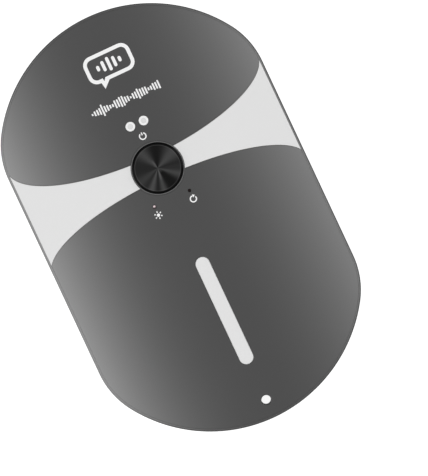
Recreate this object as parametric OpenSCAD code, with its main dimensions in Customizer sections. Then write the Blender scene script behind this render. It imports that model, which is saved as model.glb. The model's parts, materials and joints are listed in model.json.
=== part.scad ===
// Handheld voice translator: a slim rounded case with a press button, a light bar, two indicator
// lights, a reset pinhole and a lanyard hole. Millimetres. X runs across the case, Y towards its
// top end and Z out of its front face. The origin is the middle of the back face.

/* [Case] */
// Width of the case across the grip
body_w = 64; // [54:0.2:80]
// Length of the case from end to end
body_l = 100.8; // [84:0.2:126]
// How much the radius of each end exceeds half the width
end_flatness = 2.6; // [1:0.2:6]
// Radius that blends each end into the straight sides
corner_r = 18.8; // [14:0.2:24]
// How far the front face arches from its long edges to its middle
crown_rise = 1.2; // [0.4:0.1:2]
// Thickness of the side walls
wall_t = 1.6; // [1.3:0.02:2]
// Thickness of the back wall
floor_t = 1.6; // [1.3:0.02:2.4]
// Thickness of the front wall under the face plates
deck_t = 1.5; // [1.2:0.1:2]
// Radius of the rounded edge round the back
back_edge_r = 3; // [2.4:0.1:4]
// Distance of the seam between the shells below the board
split_drop = 1.4; // [1.3:0.1:1.8]
// Height of the tongue that locates the rear shell in the front one
tongue_h = 0.7; // [0.5:0.1:0.8]
// Thickness of that tongue
tongue_t = 0.75; // [0.6:0.05:0.9]

/* [Face plates] */
// Thickness of the metal plates and of the light inlays
plate_t = 1; // [0.8:0.1:1.4]
// Thickness of the adhesive sheet under them
adhesive_t = 0.1; // [0.05:0.05:0.2]
// How far the adhesive stays back from the plates' edges and windows
adhesive_margin = 0.6; // [0.3:0.1:1.2]
// Width of the case's rim that shows round the plates
rim_w = 0.55; // [0.4:0.05:1]
// Height of the light band's upper edge above the middle of the case, on the centre line
band_top = 15.45; // [14:0.05:17]
// Height of the light band's lower edge there
band_bottom = 9.85; // [8:0.05:12]
// How far the band's upper edge climbs from the centre line to the sides
band_top_climb = 10.8; // [6:0.1:12]
// How far the band's lower edge falls from the centre line to the sides
band_bottom_fall = 9.4; // [6:0.1:12]

/* [Power button] */
// Radius of the button cap
button_r = 5.8; // [5:0.05:7.2]
// Height of the button's centre above the middle of the case
button_up = 12.4; // [11:0.1:14]
// How far the cap stands out of the face
button_proud = 0.8; // [0.5:0.1:1.4]
// Width of the bevel round the cap
button_bevel = 0.5; // [0.2:0.05:0.8]
// Thickness of the cap's top and of its wall
cap_wall = 1.3; // [0.9:0.1:1.6]
// Distance from the front wall's underside up to the cap's lower edge
cap_lift = 0.8; // [0.6:0.1:1.2]
// Wall thickness of the trim ring round the button
bezel_t = 0.27; // [0.2:0.01:0.5]
// Width of the flange that holds the trim ring under the plates
bezel_flange = 0.9; // [0.6:0.1:1.4]
// Thickness of that flange
bezel_flange_t = 0.5; // [0.3:0.05:0.7]
// How far the carrier's retaining flange reaches past the cap
carrier_lip = 1; // [0.6:0.1:1.4]
// Thickness of that flange
carrier_t = 0.6; // [0.4:0.05:0.7]

/* [Lights and reset] */
// Radius of each of the two indicator lights
indicator_r = 1.12; // [0.8:0.02:1.6]
// Distance between the two indicator lights
indicator_pitch = 3.32; // [3:0.02:5]
// Distance of the indicator lights above the button's edge
indicator_gap = 5.4; // [3.6:0.1:6]
// Distance of the status light and the reset pinhole below the level of the button's edge
marker_gap = 1.9; // [1.6:0.1:4]
// Distance of each of them from the centre line
marker_out = 4.4; // [3.6:0.1:6]
// Radius of the status light
status_r = 0.4; // [0.3:0.05:0.6]
// Radius of the reset pinhole
pinhole_r = 0.4; // [0.3:0.05:0.6]
// Length of the light bar
bar_l = 26.8; // [18:0.2:32]
// Width of the light bar
bar_w = 3.4; // [2.4:0.1:4.4]
// Distance from the lanyard hole's centre up to the light bar's lower end
bar_above_hole = 9.1; // [7:0.1:12]
// Width of the flange that seats each light guide under the front wall
guide_flange = 0.9; // [0.6:0.1:1.2]
// Thickness of that flange
guide_flange_t = 0.55; // [0.4:0.05:0.8]
// Number of lamps under the light bar
bar_lamps = 5; // [3:1:6]

/* [Lanyard hole] */
// Radius of the hole
lanyard_r = 1.1; // [0.9:0.02:1.6]
// Distance of its centre from the lower end of the case
lanyard_in = 4.4; // [4:0.1:6]
// Wall thickness of the posts that carry the hole through the case
lanyard_wall = 1.3; // [0.9:0.1:1.6]

/* [Board and switches] */
// Thickness of the circuit board
board_t = 0.8; // [0.6:0.02:1.2]
// Height left for parts between the board and the front wall
bay_h = 2.6; // [2.5:0.1:3.4]
// Gap between the board's edge and the side walls
board_gap = 0.8; // [0.5:0.1:1.2]
// Side of the square power switch under the button
switch_w = 5.2; // [4.6:0.1:6]
// Height of the power switch's case
switch_h = 1.3; // [1.2:0.05:1.4]
// Radius of its plunger
plunger_r = 1.3; // [1:0.05:1.5]
// How far its plunger stands out of the case
plunger_proud = 0.5; // [0.4:0.05:0.55]
// Side of the square reset switch
reset_w = 3; // [2.8:0.1:3.6]
// Height of the reset switch's case
reset_h = 1.5; // [1.2:0.05:1.6]
// Radius of its plunger
reset_plunger_r = 0.7; // [0.5:0.05:0.75]
// How far its plunger stands out of the case
reset_proud = 0.4; // [0.3:0.05:0.5]

/* [Battery] */
// Thickness of the battery, which sets the thickness of the whole case
battery_t = 4.4; // [3.6:0.02:7]
// Thickness of the tape that holds the battery to the back wall
tape_t = 0.15; // [0.1:0.05:0.3]
// Space above the battery for it to swell
battery_headroom = 0.85; // [0.7:0.05:1.2]
// Gap between the battery and the screw posts
battery_side_gap = 2; // [1:0.1:4]
// Room between the battery and the speaker for the plug and leads
wiring_gap = 8.5; // [8:0.1:12]
// Distance from the lanyard post to the battery
battery_foot_gap = 8.9; // [6:0.1:12]

/* [Speaker] */
// Radius of the speaker
speaker_r = 10; // [8:0.05:12]
// Depth of the speaker from its front edge to its magnet
speaker_t = 3.8; // [3:0.1:3.9]
// Distance of its centre from the top end of the case
speaker_in = 19.4; // [18:0.1:24]
// Width of its rim and of the foam ring that seals it to the back wall
speaker_rim = 1.4; // [1:0.1:1.8]
// Thickness of that foam ring
gasket_t = 0.5; // [0.3:0.1:0.7]
// Radius of each sound hole
sound_hole_r = 0.65; // [0.4:0.05:0.7]
// Number of rings of sound holes round the middle one
sound_rings = 3; // [2:1:3]

/* [Charging port] */
// Width of the port's metal shell
port_w = 8.94; // [7:0.02:9.4]
// Height of the port's metal shell
port_h = 3.26; // [2.6:0.02:3.3]
// Depth of the port
port_d = 7.35; // [6:0.05:8]
// How far the port is set back from the end of the case
port_back = 0.3; // [0.1:0.1:0.6]
// How far the port sinks below the top of the board
port_sink = 0.95; // [0.9:0.05:1]

/* [Microphones] */
// Angle of each microphone from the centre line, seen from the centre of the end's arc
mic_angle = 17; // [16:1:22]
// Radius of the microphone holes
mic_hole_r = 0.5; // [0.3:0.05:0.6]
// Height of the microphone holes above the board
mic_up = 1; // [0.9:0.05:1.2]
// Length of the rubber boot between the end wall and the microphone
boot_l = 4.2; // [3.8:0.1:5]

/* [Screws] */
// Radius of the screw's shank
screw_r = 1; // [0.8:0.05:1.2]
// Radius of its head
head_r = 1.85; // [1.6:0.05:2.1]
// Height of its head
head_h = 1.2; // [0.8:0.1:1.4]
// Depth of the recess that hides the head
recess_depth = 1.9; // [1.5:0.1:2.4]
// Gap round the head in its recess
recess_gap = 0.2; // [0.1:0.05:0.3]
// Wall thickness of the rear posts round the recesses
post_wall = 0.95; // [0.8:0.05:1.2]
// Wall thickness of the front shell's bosses, which the screws cut into
boss_wall = 0.8; // [0.6:0.05:1]
// Thickness of the post between the head and the boss
screw_seat = 2; // [1:0.1:2.5]
// Distance of each screw from the curved side of the case
screw_in = 6.2; // [5.6:0.1:8]
// Angle of each screw above the corner's centre
screw_angle = 20; // [0:1:30]

/* [Clearances] */
// Gap of parts that slide in one another
running_gap = 0.08; // [0.04:0.01:0.1]
// Gap of parts that are placed in one another
fit_gap = 0.05; // [0.03:0.01:0.1]
// Seam between the face plates and the light inlays
seam = 0.08; // [0.04:0.01:0.15]

/* [Hidden] */
$fn = 96;
// A cut that leaves a solid runs this far past its faces
past = 1;
// Pieces of one solid sink this far into one another
joint = 0.01;

// The outline: an arc at each end, blended into straight sides by four corner arcs
half_w = body_w / 2;
half_l = body_l / 2;
end_r = half_w + end_flatness;
end_cy = half_l - end_r;
corner_cx = half_w - corner_r;
corner_cy = end_cy + sqrt(pow(end_r - corner_r, 2) - pow(corner_cx, 2));
end_angle = atan2(corner_cx, corner_cy - end_cy);
// A hair more on the corner arcs lets them cross the sides and ends cleanly
corner_lap = 0.003;
// Steps in the rounding of the back edge
edge_steps = 4;

// The stack of heights, from the back wall to the face and the top of the button
battery_z = floor_t + tape_t;
board_z = battery_z + battery_t + battery_headroom;
board_top = board_z + board_t;
deck_z = board_top + bay_h;
deck_top = deck_z + deck_t;
body_t = deck_top + adhesive_t + plate_t;
cap_top = body_t + button_proud;
split_z = board_z - split_drop;
crown_r = (pow(half_w, 2) + pow(crown_rise, 2)) / (2 * crown_rise);

// Face plates and light band. Each of the band's edges is half an ellipse, a little narrower or
// wider than the case
plate_inset = rim_w + fit_gap;
band_top_reach = half_w - 0.4;
band_bottom_reach = half_w + 0.1;
band_steps = 48;

// Button and its trim ring
bezel_in_r = button_r + running_gap;
bezel_out_r = bezel_in_r + bezel_t;
bezel_seat_z = deck_top - bezel_flange_t;
carrier_r = button_r + carrier_lip;
carrier_top = under_deck(carrier_r) - fit_gap;

// Lights and pinhole
indicator_y = button_up + button_r + indicator_gap;
marker_y = button_up - button_r - marker_gap;
lanyard_y = lanyard_in - half_l;
bar_y = lanyard_y + bar_above_hole + bar_l / 2;
guide_z = deck_z - guide_flange_t;
lamp_size = [2, 1.25, 0.5];
lamp_window = [1.3, 1.05, 0.2];

// Posts, bosses and screws
lanyard_post_r = lanyard_r + lanyard_wall;
recess_r = head_r + recess_gap;
post_r = recess_r + post_wall;
boss_r = screw_r + fit_gap + boss_wall;
boss_z = recess_depth + screw_seat;
pillar_r = boss_r + 0.6;
screw_x = corner_cx + (corner_r - screw_in) * cos(screw_angle);
screw_y = corner_cy + (corner_r - screw_in) * sin(screw_angle);

// Switches: a steel cover closes each, and its plunger rests on a snap dome
cover_t = 0.2;
well_floor = 0.3;
dome_h = 0.35;
dome_t = 0.08;
plunger_z = board_top + well_floor + dome_h;
plunger_top = board_top + switch_h + plunger_proud;
switch_wall = 0.6;
reset_wall = 0.35;

// Speaker and its cup on the back wall
speaker_y = half_l - speaker_in;
speaker_z = floor_t + gasket_t;
basket_h = 1.4;
magnet_r = speaker_r - 3.15;
magnet_z = speaker_z + 1.6;
pole_h = 0.4;
cone_r = speaker_r - speaker_rim - fit_gap;
lead_tab = [5, 2.2, 0.8];
lead_tab_y = speaker_y - speaker_r + 0.8;
cup_in_r = speaker_r + 0.15;
cup_out_r = cup_in_r + 0.85;
sound_hole_pitch = (speaker_r - speaker_rim - sound_hole_r - 0.9) / sound_rings;

// Battery, its plug and its socket
battery_top_y = speaker_y - cup_out_r - wiring_gap;
battery_low_y = lanyard_y + lanyard_post_r + battery_foot_gap;
battery_y = (battery_top_y + battery_low_y) / 2;
battery_l = battery_top_y - battery_low_y;
battery_w = 2 * (screw_x - post_r - battery_side_gap);
battery_fold = 1.5;
battery_corner = 1.6;
tape_w = battery_w - 6;
plug_size = [4.2, 3.2, 2.4];
socket_size = [5, 2.6, 2.8];
plug_x = -battery_w / 4;
plug_y = battery_top_y + wiring_gap / 2 + 0.4;
plug_z = board_z - plug_size[2] - 0.2;

// Charging port, whose ends are nearly half round, and the gaps round it in the case and the board
port_z = board_top - port_sink;
port_y = half_l - port_back - port_d;
port_corner = port_h / 2 - 0.35;
port_wall = 0.3;
port_gap = 0.12;
port_notch_gap = 0.2;

// Microphones
mic_size = [2.65, 3.5, 1];
mic_z = board_top + mic_up;
mic_in = wall_t + boot_l + 0.6;

// Chips: the radio module and the processor stand beside the screw pillars, under thin steel cans
radio_size = [11, 13, 0.5];
radio_can = [10, 9.6, 1];
processor_size = [8, 7, 0.9];
processor_can = [12, 13, 1.3];
memory_size = [6, 3.6, 0.8];
can_wall = 0.2;
radio_x = screw_x - pillar_r - 0.8 - radio_size[0] / 2;
chip_y = screw_y + 3.7;
charger_size = [3, 3, 0.75];
charger_y = port_y - 4;
inductor_size = [2.5, 2, 1];
inductor_out = 4.2;
capacitor_size = [1.6, 0.8, 0.8];
capacitor_out = 7;
capacitor_pitch = 4;

// ---- Heights and curves ----

// How far the arched face lies below its middle, at x from the centre line
function crown_drop(x) = crown_r - sqrt(pow(crown_r, 2) - pow(x, 2));

// Height of the front wall's underside, at x from the centre line
function under_deck(x) = deck_z - crown_drop(x);

function unit(v) = v / norm(v);

// A point on the smooth curve that four control points set
function bezier(c, t) =
    pow(1 - t, 3) * c[0] + 3 * t * pow(1 - t, 2) * c[1] + 3 * t * t * (1 - t) * c[2] + pow(t, 3) * c[3];

// The direction of that curve
function bezier_slope(c, t) =
    pow(1 - t, 2) * (c[1] - c[0]) + 2 * t * (1 - t) * (c[2] - c[1]) + t * t * (c[3] - c[2]);

// The elliptical edge of the light band, from left to right: foot is its height on the centre
// line, and climb is how far it rises to the sides
function band_edge(foot, climb, reach) = [
    for (i = [0:band_steps]) let (a = 180 - i * 180 / band_steps)
        [reach * cos(a), foot + climb * (1 - sin(a))]
];

function reversed(list) = [for (i = [len(list) - 1:-1:0]) list[i]];

// ---- Solids that repeat ----

// Half the section of a slab, from its middle out to its edge, as points. The lower edge is rounded
// in short steps
function half_section(reach, z0, z1, low_r) = concat(
    [for (i = [0:edge_steps]) let (a = 90 * i / edge_steps)
        [reach - low_r * (1 - sin(a)), z0 + low_r * (1 - cos(a))]],
    [[reach, z1]]
);

// A disc from z0 to z1, with the lower edge rounded
module puck(r, z0, z1, low_r) {
    if (low_r > 0) rotate_extrude() polygon(concat([[0, z1], [0, z0]], half_section(r, z0, z1, low_r)));
    else translate([0, 0, z0]) cylinder(r = r, h = z1 - z0);
}

// A slab with the case's outline drawn in by inset, from z0 to z1
module slab(inset, z0, z1, low_r = 0) {
    reach = half_w - inset;
    half = half_section(reach, z0, z1, low_r);
    far = 2 * corner_r;
    difference() {
        // A bar as wide as the case
        if (low_r > 0) rotate([90, 0, 0]) linear_extrude(body_l, center = true)
            polygon(concat([for (p = reversed(half)) [-p[0], p[1]]], half));
        else translate([-reach, -half_l, z0]) cube([2 * reach, body_l, z1 - z0]);
        for (y = [0, 1]) mirror([0, y, 0]) {
            // What lies outside the arc of the end
            difference() {
                translate([-body_w, corner_cy, z0 - past]) cube([2 * body_w, body_l, z1 - z0 + 2 * past]);
                translate([0, end_cy, 0]) puck(end_r - inset, z0, z1, low_r);
            }
            // What lies outside the arcs of the corners
            for (x = [0, 1]) mirror([x, 0, 0]) translate([corner_cx, corner_cy, 0]) difference() {
                translate([0, 0, z0 - past]) linear_extrude(z1 - z0 + 2 * past)
                    polygon(far * [[0, 0], [1, 0], [1, 1], [sin(end_angle), cos(end_angle)]]);
                puck(corner_r - inset + corner_lap, z0, z1, low_r);
            }
        }
    }
}

// Everything under the arched face, depth below it
module under_crown(depth) {
    translate([0, 0, body_t - crown_r]) rotate([90, 0, 0])
        cylinder(r = crown_r - depth, h = 2 * body_l, center = true, $fn = 256);
}

// A curved sheet under the face, from one depth to another, inside the case's outline
module face_sheet(inset, from, to) {
    difference() {
        intersection() {
            slab(inset, deck_z - crown_rise, body_t + past);
            under_crown(from);
        }
        under_crown(to);
    }
}

// A quarter of a disc
module quarter(r) {
    intersection() {
        circle(r);
        square(r);
    }
}

// A rectangle with round corners
module round_rect(w, h, r) {
    square([w - 2 * r, h], center = true);
    for (side = [-1, 1]) translate([side * (w - r) / 2, 0]) square([r, h - 2 * r], center = true);
    for (c = [[1, 1, 0], [-1, 1, 90], [-1, -1, 180], [1, -1, 270]])
        translate([c[0] * (w / 2 - r), c[1] * (h / 2 - r)]) rotate(c[2]) quarter(r);
}

// A round-ended bar along Y
module bar(l, w, h) {
    linear_extrude(h) {
        square([w, l - w], center = true);
        for (turn = [0, 180]) rotate(turn) translate([0, l / 2 - w / 2]) intersection() {
            circle(w / 2);
            translate([-w / 2, 0]) square([w, w / 2]);
        }
    }
}

// A box that stands at the height z, centred on x and y
module block(x, y, z, size) {
    translate([x - size[0] / 2, y - size[1] / 2, z]) cube(size);
}

// A tube or a ring
module ring(out_r, in_r, h) {
    difference() {
        cylinder(r = out_r, h = h);
        translate([0, 0, -past]) cylinder(r = in_r, h = h + 2 * past);
    }
}

// A thin can, open below
module can(x, y, z, size, wall) {
    difference() {
        block(x, y, z, size);
        block(x, y, z - past, [size[0] - 2 * wall, size[1] - 2 * wall, size[2] - wall + past]);
    }
}

// An insulated lead of radius r, along a smooth curve that keeps to one x
module lead(controls, r, rings = 14, sides = 8) {
    path = [for (i = [0:rings]) bezier(controls, i / rings)];
    along = [for (i = [0:rings]) unit(bezier_slope(controls, i / rings))];
    points = [
        for (i = [0:rings], k = [0:sides - 1])
            let (across = unit(cross(along[i], [1, 0, 0])), up = cross(across, along[i]))
            path[i] + r * (cos(k * 360 / sides) * across + sin(k * 360 / sides) * up)
    ];
    walls = [
        for (i = [0:rings - 1], k = [0:sides - 1]) let (n = (k + 1) % sides)
            [i * sides + k, i * sides + n, (i + 1) * sides + n, (i + 1) * sides + k]
    ];
    first = [for (k = [sides - 1:-1:0]) k];
    last = [for (k = [0:sides - 1]) rings * sides + k];
    polyhedron(points, concat(walls, [first, last]), convexity = 4);
}

// ---- Places ----

module at_screws() {
    for (x = [-1, 1], y = [-1, 1]) translate([x * screw_x, y * screw_y, 0]) children();
}

module at_button() {
    translate([0, button_up, 0]) children();
}

module at_indicators() {
    for (side = [-1, 1]) translate([side * indicator_pitch / 2, indicator_y, 0]) children();
}

module at_status_light() {
    translate([-marker_out, marker_y, 0]) children();
}

module at_pinhole() {
    translate([marker_out, marker_y, 0]) children();
}

module at_bar_lamps() {
    pitch = (bar_l - bar_w) / (bar_lamps - 1);
    for (i = [0:bar_lamps - 1])
        translate([0, bar_y + (i - (bar_lamps - 1) / 2) * pitch, 0]) children();
}

// One microphone is at the top end, and one at the lower end
module at_microphones() {
    for (turn = [0, 180]) rotate(turn) translate([0, end_cy, 0]) rotate(-mic_angle) children();
}

// ---- Case ----

// Rings of holes round a middle one
module sound_holes(h) {
    cylinder(r = sound_hole_r, h = h);
    for (k = [1:sound_rings], i = [0:6 * k - 1])
        rotate(i * 60 / k) translate([k * sound_hole_pitch, 0, 0]) cylinder(r = sound_hole_r, h = h);
}

module rear_shell() {
    low = floor_t / 2;
    color("#4a4b4d") difference() {
        union() {
            difference() {
                slab(0, 0, split_z, back_edge_r);
                slab(wall_t, floor_t, split_z + past, back_edge_r - wall_t);
            }
            // Tongue that locates the front shell
            difference() {
                slab(wall_t - tongue_t, split_z - tongue_t, split_z + tongue_h);
                slab(wall_t, split_z - past, split_z + tongue_h + past);
            }
            at_screws() cylinder(r = post_r, h = board_z);
            translate([0, lanyard_y, low]) cylinder(r = lanyard_post_r, h = board_z - low);
            // Cup that holds the speaker, open where its leads come out
            difference() {
                translate([0, speaker_y, low]) ring(cup_out_r, cup_in_r, speaker_z + basket_h - low + past);
                block(0, speaker_y - cup_out_r, floor_t, [1.6 * lead_tab[0], speaker_r / 2, board_z]);
            }
        }
        at_screws() {
            translate([0, 0, -past]) cylinder(r = recess_r, h = recess_depth + past);
            cylinder(r = screw_r + fit_gap, h = board_z + past);
            translate([0, 0, boss_z - fit_gap]) cylinder(r = boss_r + fit_gap, h = board_z);
        }
        translate([0, lanyard_y, -past]) cylinder(r = lanyard_r, h = board_z + 2 * past);
        translate([0, speaker_y, -past]) sound_holes(floor_t + 2 * past);
    }
}

module front_shell() {
    color("#5c5d60") difference() {
        union() {
            difference() {
                intersection() {
                    slab(0, split_z, body_t + past);
                    under_crown(0);
                }
                // Tray for the plates
                face_sheet(rim_w, -past, body_t - deck_top);
                // Inside
                intersection() {
                    slab(wall_t, split_z - past, body_t);
                    under_crown(body_t - deck_z);
                }
                // Rebate for the rear shell's tongue
                slab(wall_t - tongue_t - fit_gap, split_z - past, split_z + tongue_h + fit_gap);
            }
            // Pillars that rest on the board, each with a boss that goes on down into a rear post
            at_screws() translate([0, 0, board_top])
                cylinder(r = pillar_r, h = under_deck(screw_x) + deck_t / 2 - board_top);
            at_screws() translate([0, 0, boss_z]) cylinder(r = boss_r, h = deck_z - past - boss_z);
            translate([0, lanyard_y, board_z])
                cylinder(r = lanyard_post_r, h = deck_z + deck_t / 2 - board_z);
        }
        at_screws() cylinder(r = screw_r + fit_gap, h = under_deck(screw_x) + running_gap);
        translate([0, lanyard_y, 0]) cylinder(r = lanyard_r, h = body_t + past);
        // Button and the seat of its trim ring
        at_button() cylinder(r = bezel_in_r, h = body_t);
        at_button() translate([0, 0, bezel_seat_z])
            cylinder(r = bezel_out_r + bezel_flange + fit_gap, h = body_t);
        // Lights and pinhole
        at_indicators() cylinder(r = indicator_r + fit_gap, h = body_t);
        at_status_light() cylinder(r = status_r + fit_gap, h = body_t);
        at_pinhole() cylinder(r = pinhole_r + fit_gap, h = body_t);
        translate([0, bar_y, deck_z - past]) bar(bar_l, bar_w, deck_t + 2 * past);
        // Openings in the end walls
        translate([0, half_l + past, port_z + port_h / 2]) rotate([90, 0, 0])
            linear_extrude(wall_t + 3 * past)
            round_rect(port_w + 2 * port_gap, port_h + 2 * port_gap, port_corner + port_gap);
        at_microphones() translate([0, end_r + past, mic_z]) rotate([90, 0, 0])
            cylinder(r = mic_hole_r, h = wall_t + 2 * past);
    }
}

// ---- Face plates ----

// The windows in the face, each wider than the part that shows in it by gap
module face_windows(gap) {
    h = body_t + past;
    at_button() cylinder(r = bezel_out_r + gap, h = h);
    at_indicators() cylinder(r = indicator_r + gap, h = h);
    at_status_light() cylinder(r = status_r + gap, h = h);
    at_pinhole() cylinder(r = pinhole_r - fit_gap + gap, h = h);
    translate([0, bar_y, 0]) bar(bar_l - 2 * (fit_gap - gap), bar_w - 2 * (fit_gap - gap), h);
    translate([0, lanyard_y, 0]) cylinder(r = lanyard_r - fit_gap + gap, h = h);
}

// What lies beyond one edge of the light band, out to y = far
module beyond_band(edge, far) {
    side_y = edge[0][1];
    linear_extrude(body_t + past)
        polygon(concat(edge, [[body_w, side_y], [body_w, far], [-body_w, far], [-body_w, side_y]]));
}

module upper_fascia() {
    color("#525356") difference() {
        intersection() {
            face_sheet(plate_inset, 0, plate_t);
            beyond_band(band_edge(band_top, band_top_climb, band_top_reach), body_l);
        }
        face_windows(fit_gap);
    }
}

module lower_fascia() {
    color("#525356") difference() {
        intersection() {
            face_sheet(plate_inset, 0, plate_t);
            beyond_band(band_edge(band_bottom, -band_bottom_fall, band_bottom_reach), -body_l);
        }
        face_windows(fit_gap);
    }
}

// The light inlay on one side of the button
module band_inlay(side) {
    upper = band_edge(band_top - seam, band_top_climb, band_top_reach);
    lower = band_edge(band_bottom + seam, -band_bottom_fall, band_bottom_reach);
    color("#e3e3e1") difference() {
        intersection() {
            face_sheet(plate_inset, 0, plate_t);
            linear_extrude(body_t + past) polygon(concat(upper, reversed(lower)));
            block(side * body_w / 2, 0, 0, [body_w, body_l, body_t + past]);
        }
        face_windows(fit_gap);
    }
}

module fascia_adhesive() {
    color("#c9c4b4") difference() {
        face_sheet(plate_inset + adhesive_margin, plate_t, plate_t + adhesive_t);
        face_windows(fit_gap + adhesive_margin);
        at_button() cylinder(r = bezel_out_r + bezel_flange + adhesive_margin / 2, h = body_t);
    }
}

// ---- Power button ----

module button_bezel() {
    color("#6a6b6e") at_button() translate([0, 0, bezel_seat_z]) {
        ring(bezel_out_r, bezel_in_r, body_t - bezel_seat_z);
        ring(bezel_out_r + bezel_flange, bezel_in_r, bezel_flange_t);
    }
}

module button_cap() {
    socket_r = button_r - cap_wall;
    socket_z = cap_top - cap_wall;
    low_z = deck_z + cap_lift;
    color("#19191a") at_button() rotate_extrude() polygon([
        [0, socket_z], [socket_r, socket_z], [socket_r, low_z], [button_r, low_z],
        [button_r, cap_top - button_bevel], [button_r - button_bevel, cap_top], [0, cap_top]
    ]);
}

// Holds the cap, keeps it from lifting out and presses on the switch
module button_carrier() {
    flange_z = carrier_top - carrier_t;
    pin_r = plunger_r - 0.15;
    color("#2b2b2d") at_button() {
        translate([0, 0, flange_z]) cylinder(r = carrier_r, h = carrier_t);
        translate([0, 0, flange_z])
            cylinder(r = button_r - cap_wall - fit_gap, h = cap_top - cap_wall - flange_z);
        translate([0, 0, plunger_top]) cylinder(r = pin_r, h = carrier_top - plunger_top);
    }
}

// ---- Lights ----

module indicator_light_guide() {
    reach = indicator_r + guide_flange;
    color("#ececea") {
        at_indicators() translate([0, 0, guide_z]) cylinder(r = indicator_r, h = body_t - guide_z);
        translate([0, indicator_y, guide_z]) linear_extrude(under_deck(indicator_pitch / 2 + reach) - guide_z)
            round_rect(indicator_pitch + 2 * reach, 2 * reach, guide_flange);
    }
}

module status_light_pipe() {
    reach = status_r + guide_flange;
    color("#f2d9de") at_status_light() translate([0, 0, guide_z]) {
        cylinder(r = status_r, h = body_t - crown_drop(marker_out + status_r) - guide_z);
        cylinder(r = reach, h = under_deck(marker_out + reach) - guide_z);
    }
}

module light_bar_lens() {
    flange_h = under_deck(bar_w / 2 + guide_flange) - guide_z;
    color("#ececea") translate([0, bar_y, guide_z]) {
        bar(bar_l - 2 * fit_gap, bar_w - 2 * fit_gap, body_t - guide_z);
        bar(bar_l + 2 * guide_flange, bar_w + 2 * guide_flange, flange_h);
    }
}

// Black frame that keeps the bar's light off the other windows
module light_bar_baffle() {
    color("#202022") translate([0, bar_y, board_top]) difference() {
        bar(bar_l + 2 * guide_flange, bar_w + 2 * guide_flange, guide_z - board_top);
        translate([0, 0, -past]) bar(bar_l, bar_w, bay_h + 2 * past);
    }
}

// A lamp: a pale package with a clear window on top
module lamp() {
    block(0, 0, board_top, lamp_size);
    block(0, 0, board_top + lamp_size[2] - joint, lamp_window);
}

module light_bar_leds() {
    color("#f3efdc") at_bar_lamps() lamp();
}

module indicator_leds() {
    color("#f3efdc") at_indicators() lamp();
}

module status_led() {
    color("#f0b7bd") at_status_light() lamp();
}

// ---- Board and switches ----

module main_board() {
    notch_r = lanyard_post_r + board_gap;
    color("#1f5a3c") difference() {
        slab(wall_t + board_gap, board_z, board_top);
        at_screws() cylinder(r = boss_r + fit_gap, h = body_t);
        // Notch round the lanyard post
        translate([0, lanyard_y, 0]) cylinder(r = notch_r, h = body_t);
        block(0, lanyard_y - body_l / 2, 0, [2 * notch_r, body_l, body_t]);
        // Notch that the charging port sinks into
        block(0, port_y - port_notch_gap + body_l / 2, 0, [port_w + 2 * port_notch_gap, body_l, body_t]);
    }
}

// A square case with a round well in it
module switch_body(w, h, well_r) {
    color("#2a2a2c") difference() {
        block(0, 0, board_top, [w, w, h - cover_t]);
        translate([0, 0, board_top + well_floor]) cylinder(r = well_r, h = h);
    }
}

// The steel cover that keeps the plunger in
module switch_cover(w, h, hole_r) {
    color("#c8c9cc") difference() {
        block(0, 0, board_top + h - cover_t, [w, w, cover_t]);
        cylinder(r = hole_r, h = body_t);
    }
}

// The plunger, with a shoulder under the cover
module switch_plunger(r, h, proud) {
    shoulder_r = r * 1.3;
    cylinder(r = r, h = board_top + h + proud - plunger_z);
    cylinder(r = shoulder_r, h = board_top + h - cover_t - fit_gap / 2 - plunger_z);
}

// A snap dome, hollow below: its rim stands in the well and its crown meets the plunger
module switch_dome(r) {
    color("#d9dade") translate([0, 0, board_top + well_floor]) rotate_extrude() polygon([
        [0, dome_h - dome_t], [0.45 * r, dome_h - 1.5 * dome_t], [r - dome_t, 0], [r, 0],
        [0.5 * r, dome_h - dome_t / 4], [0, dome_h]
    ]);
}

module power_switch_body() {
    at_button() switch_body(switch_w, switch_h, switch_w / 2 - switch_wall);
}

module power_switch_cover() {
    at_button() switch_cover(switch_w, switch_h, plunger_r + running_gap);
}

module power_switch_plunger() {
    color("#e8e6df") at_button() translate([0, 0, plunger_z])
        switch_plunger(plunger_r, switch_h, plunger_proud);
}

module power_switch_dome() {
    at_button() switch_dome(switch_w / 2 - switch_wall - running_gap);
}

module reset_switch_body() {
    at_pinhole() switch_body(reset_w, reset_h, reset_w / 2 - reset_wall);
}

module reset_switch_cover() {
    at_pinhole() switch_cover(reset_w, reset_h, reset_plunger_r + running_gap);
}

module reset_switch_plunger() {
    color("#6a231d") at_pinhole() translate([0, 0, plunger_z])
        switch_plunger(reset_plunger_r, reset_h, reset_proud);
}

module reset_switch_dome() {
    at_pinhole() switch_dome(reset_w / 2 - reset_wall - running_gap);
}

// ---- Charging port ----

// The port's outline, drawn in by inset, over a length of its depth
module port_tube(inset, from, to) {
    translate([0, port_y + to, port_z + port_h / 2]) rotate([90, 0, 0]) linear_extrude(to - from)
        round_rect(port_w - 2 * inset, port_h - 2 * inset, port_corner - inset);
}

module charging_port_shell() {
    foot = [1.1, 1.2, 0.3];
    foot_out = port_w / 2 + 0.4;
    color("#c2c4c8") {
        difference() {
            port_tube(0, 0, port_d);
            port_tube(port_wall, -past, port_d + past);
        }
        // Feet soldered to the board
        for (side = [-1, 1], y = [1.2, 4.2]) block(side * foot_out, port_y + y, board_top, foot);
    }
}

module charging_port_tongue() {
    base = 1.3;
    tongue = [port_w - 2.2, 4.4, 0.7];
    tongue_y = port_y + base + tongue[1] / 2 - joint;
    color("#1b1b1d") {
        port_tube(port_wall, 0, base);
        block(0, tongue_y, port_z + (port_h - tongue[2]) / 2, tongue);
    }
}

// ---- Microphones ----

module microphones() {
    color("#c9b26a") at_microphones() block(0, end_r - mic_in, board_top, mic_size);
}

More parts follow.
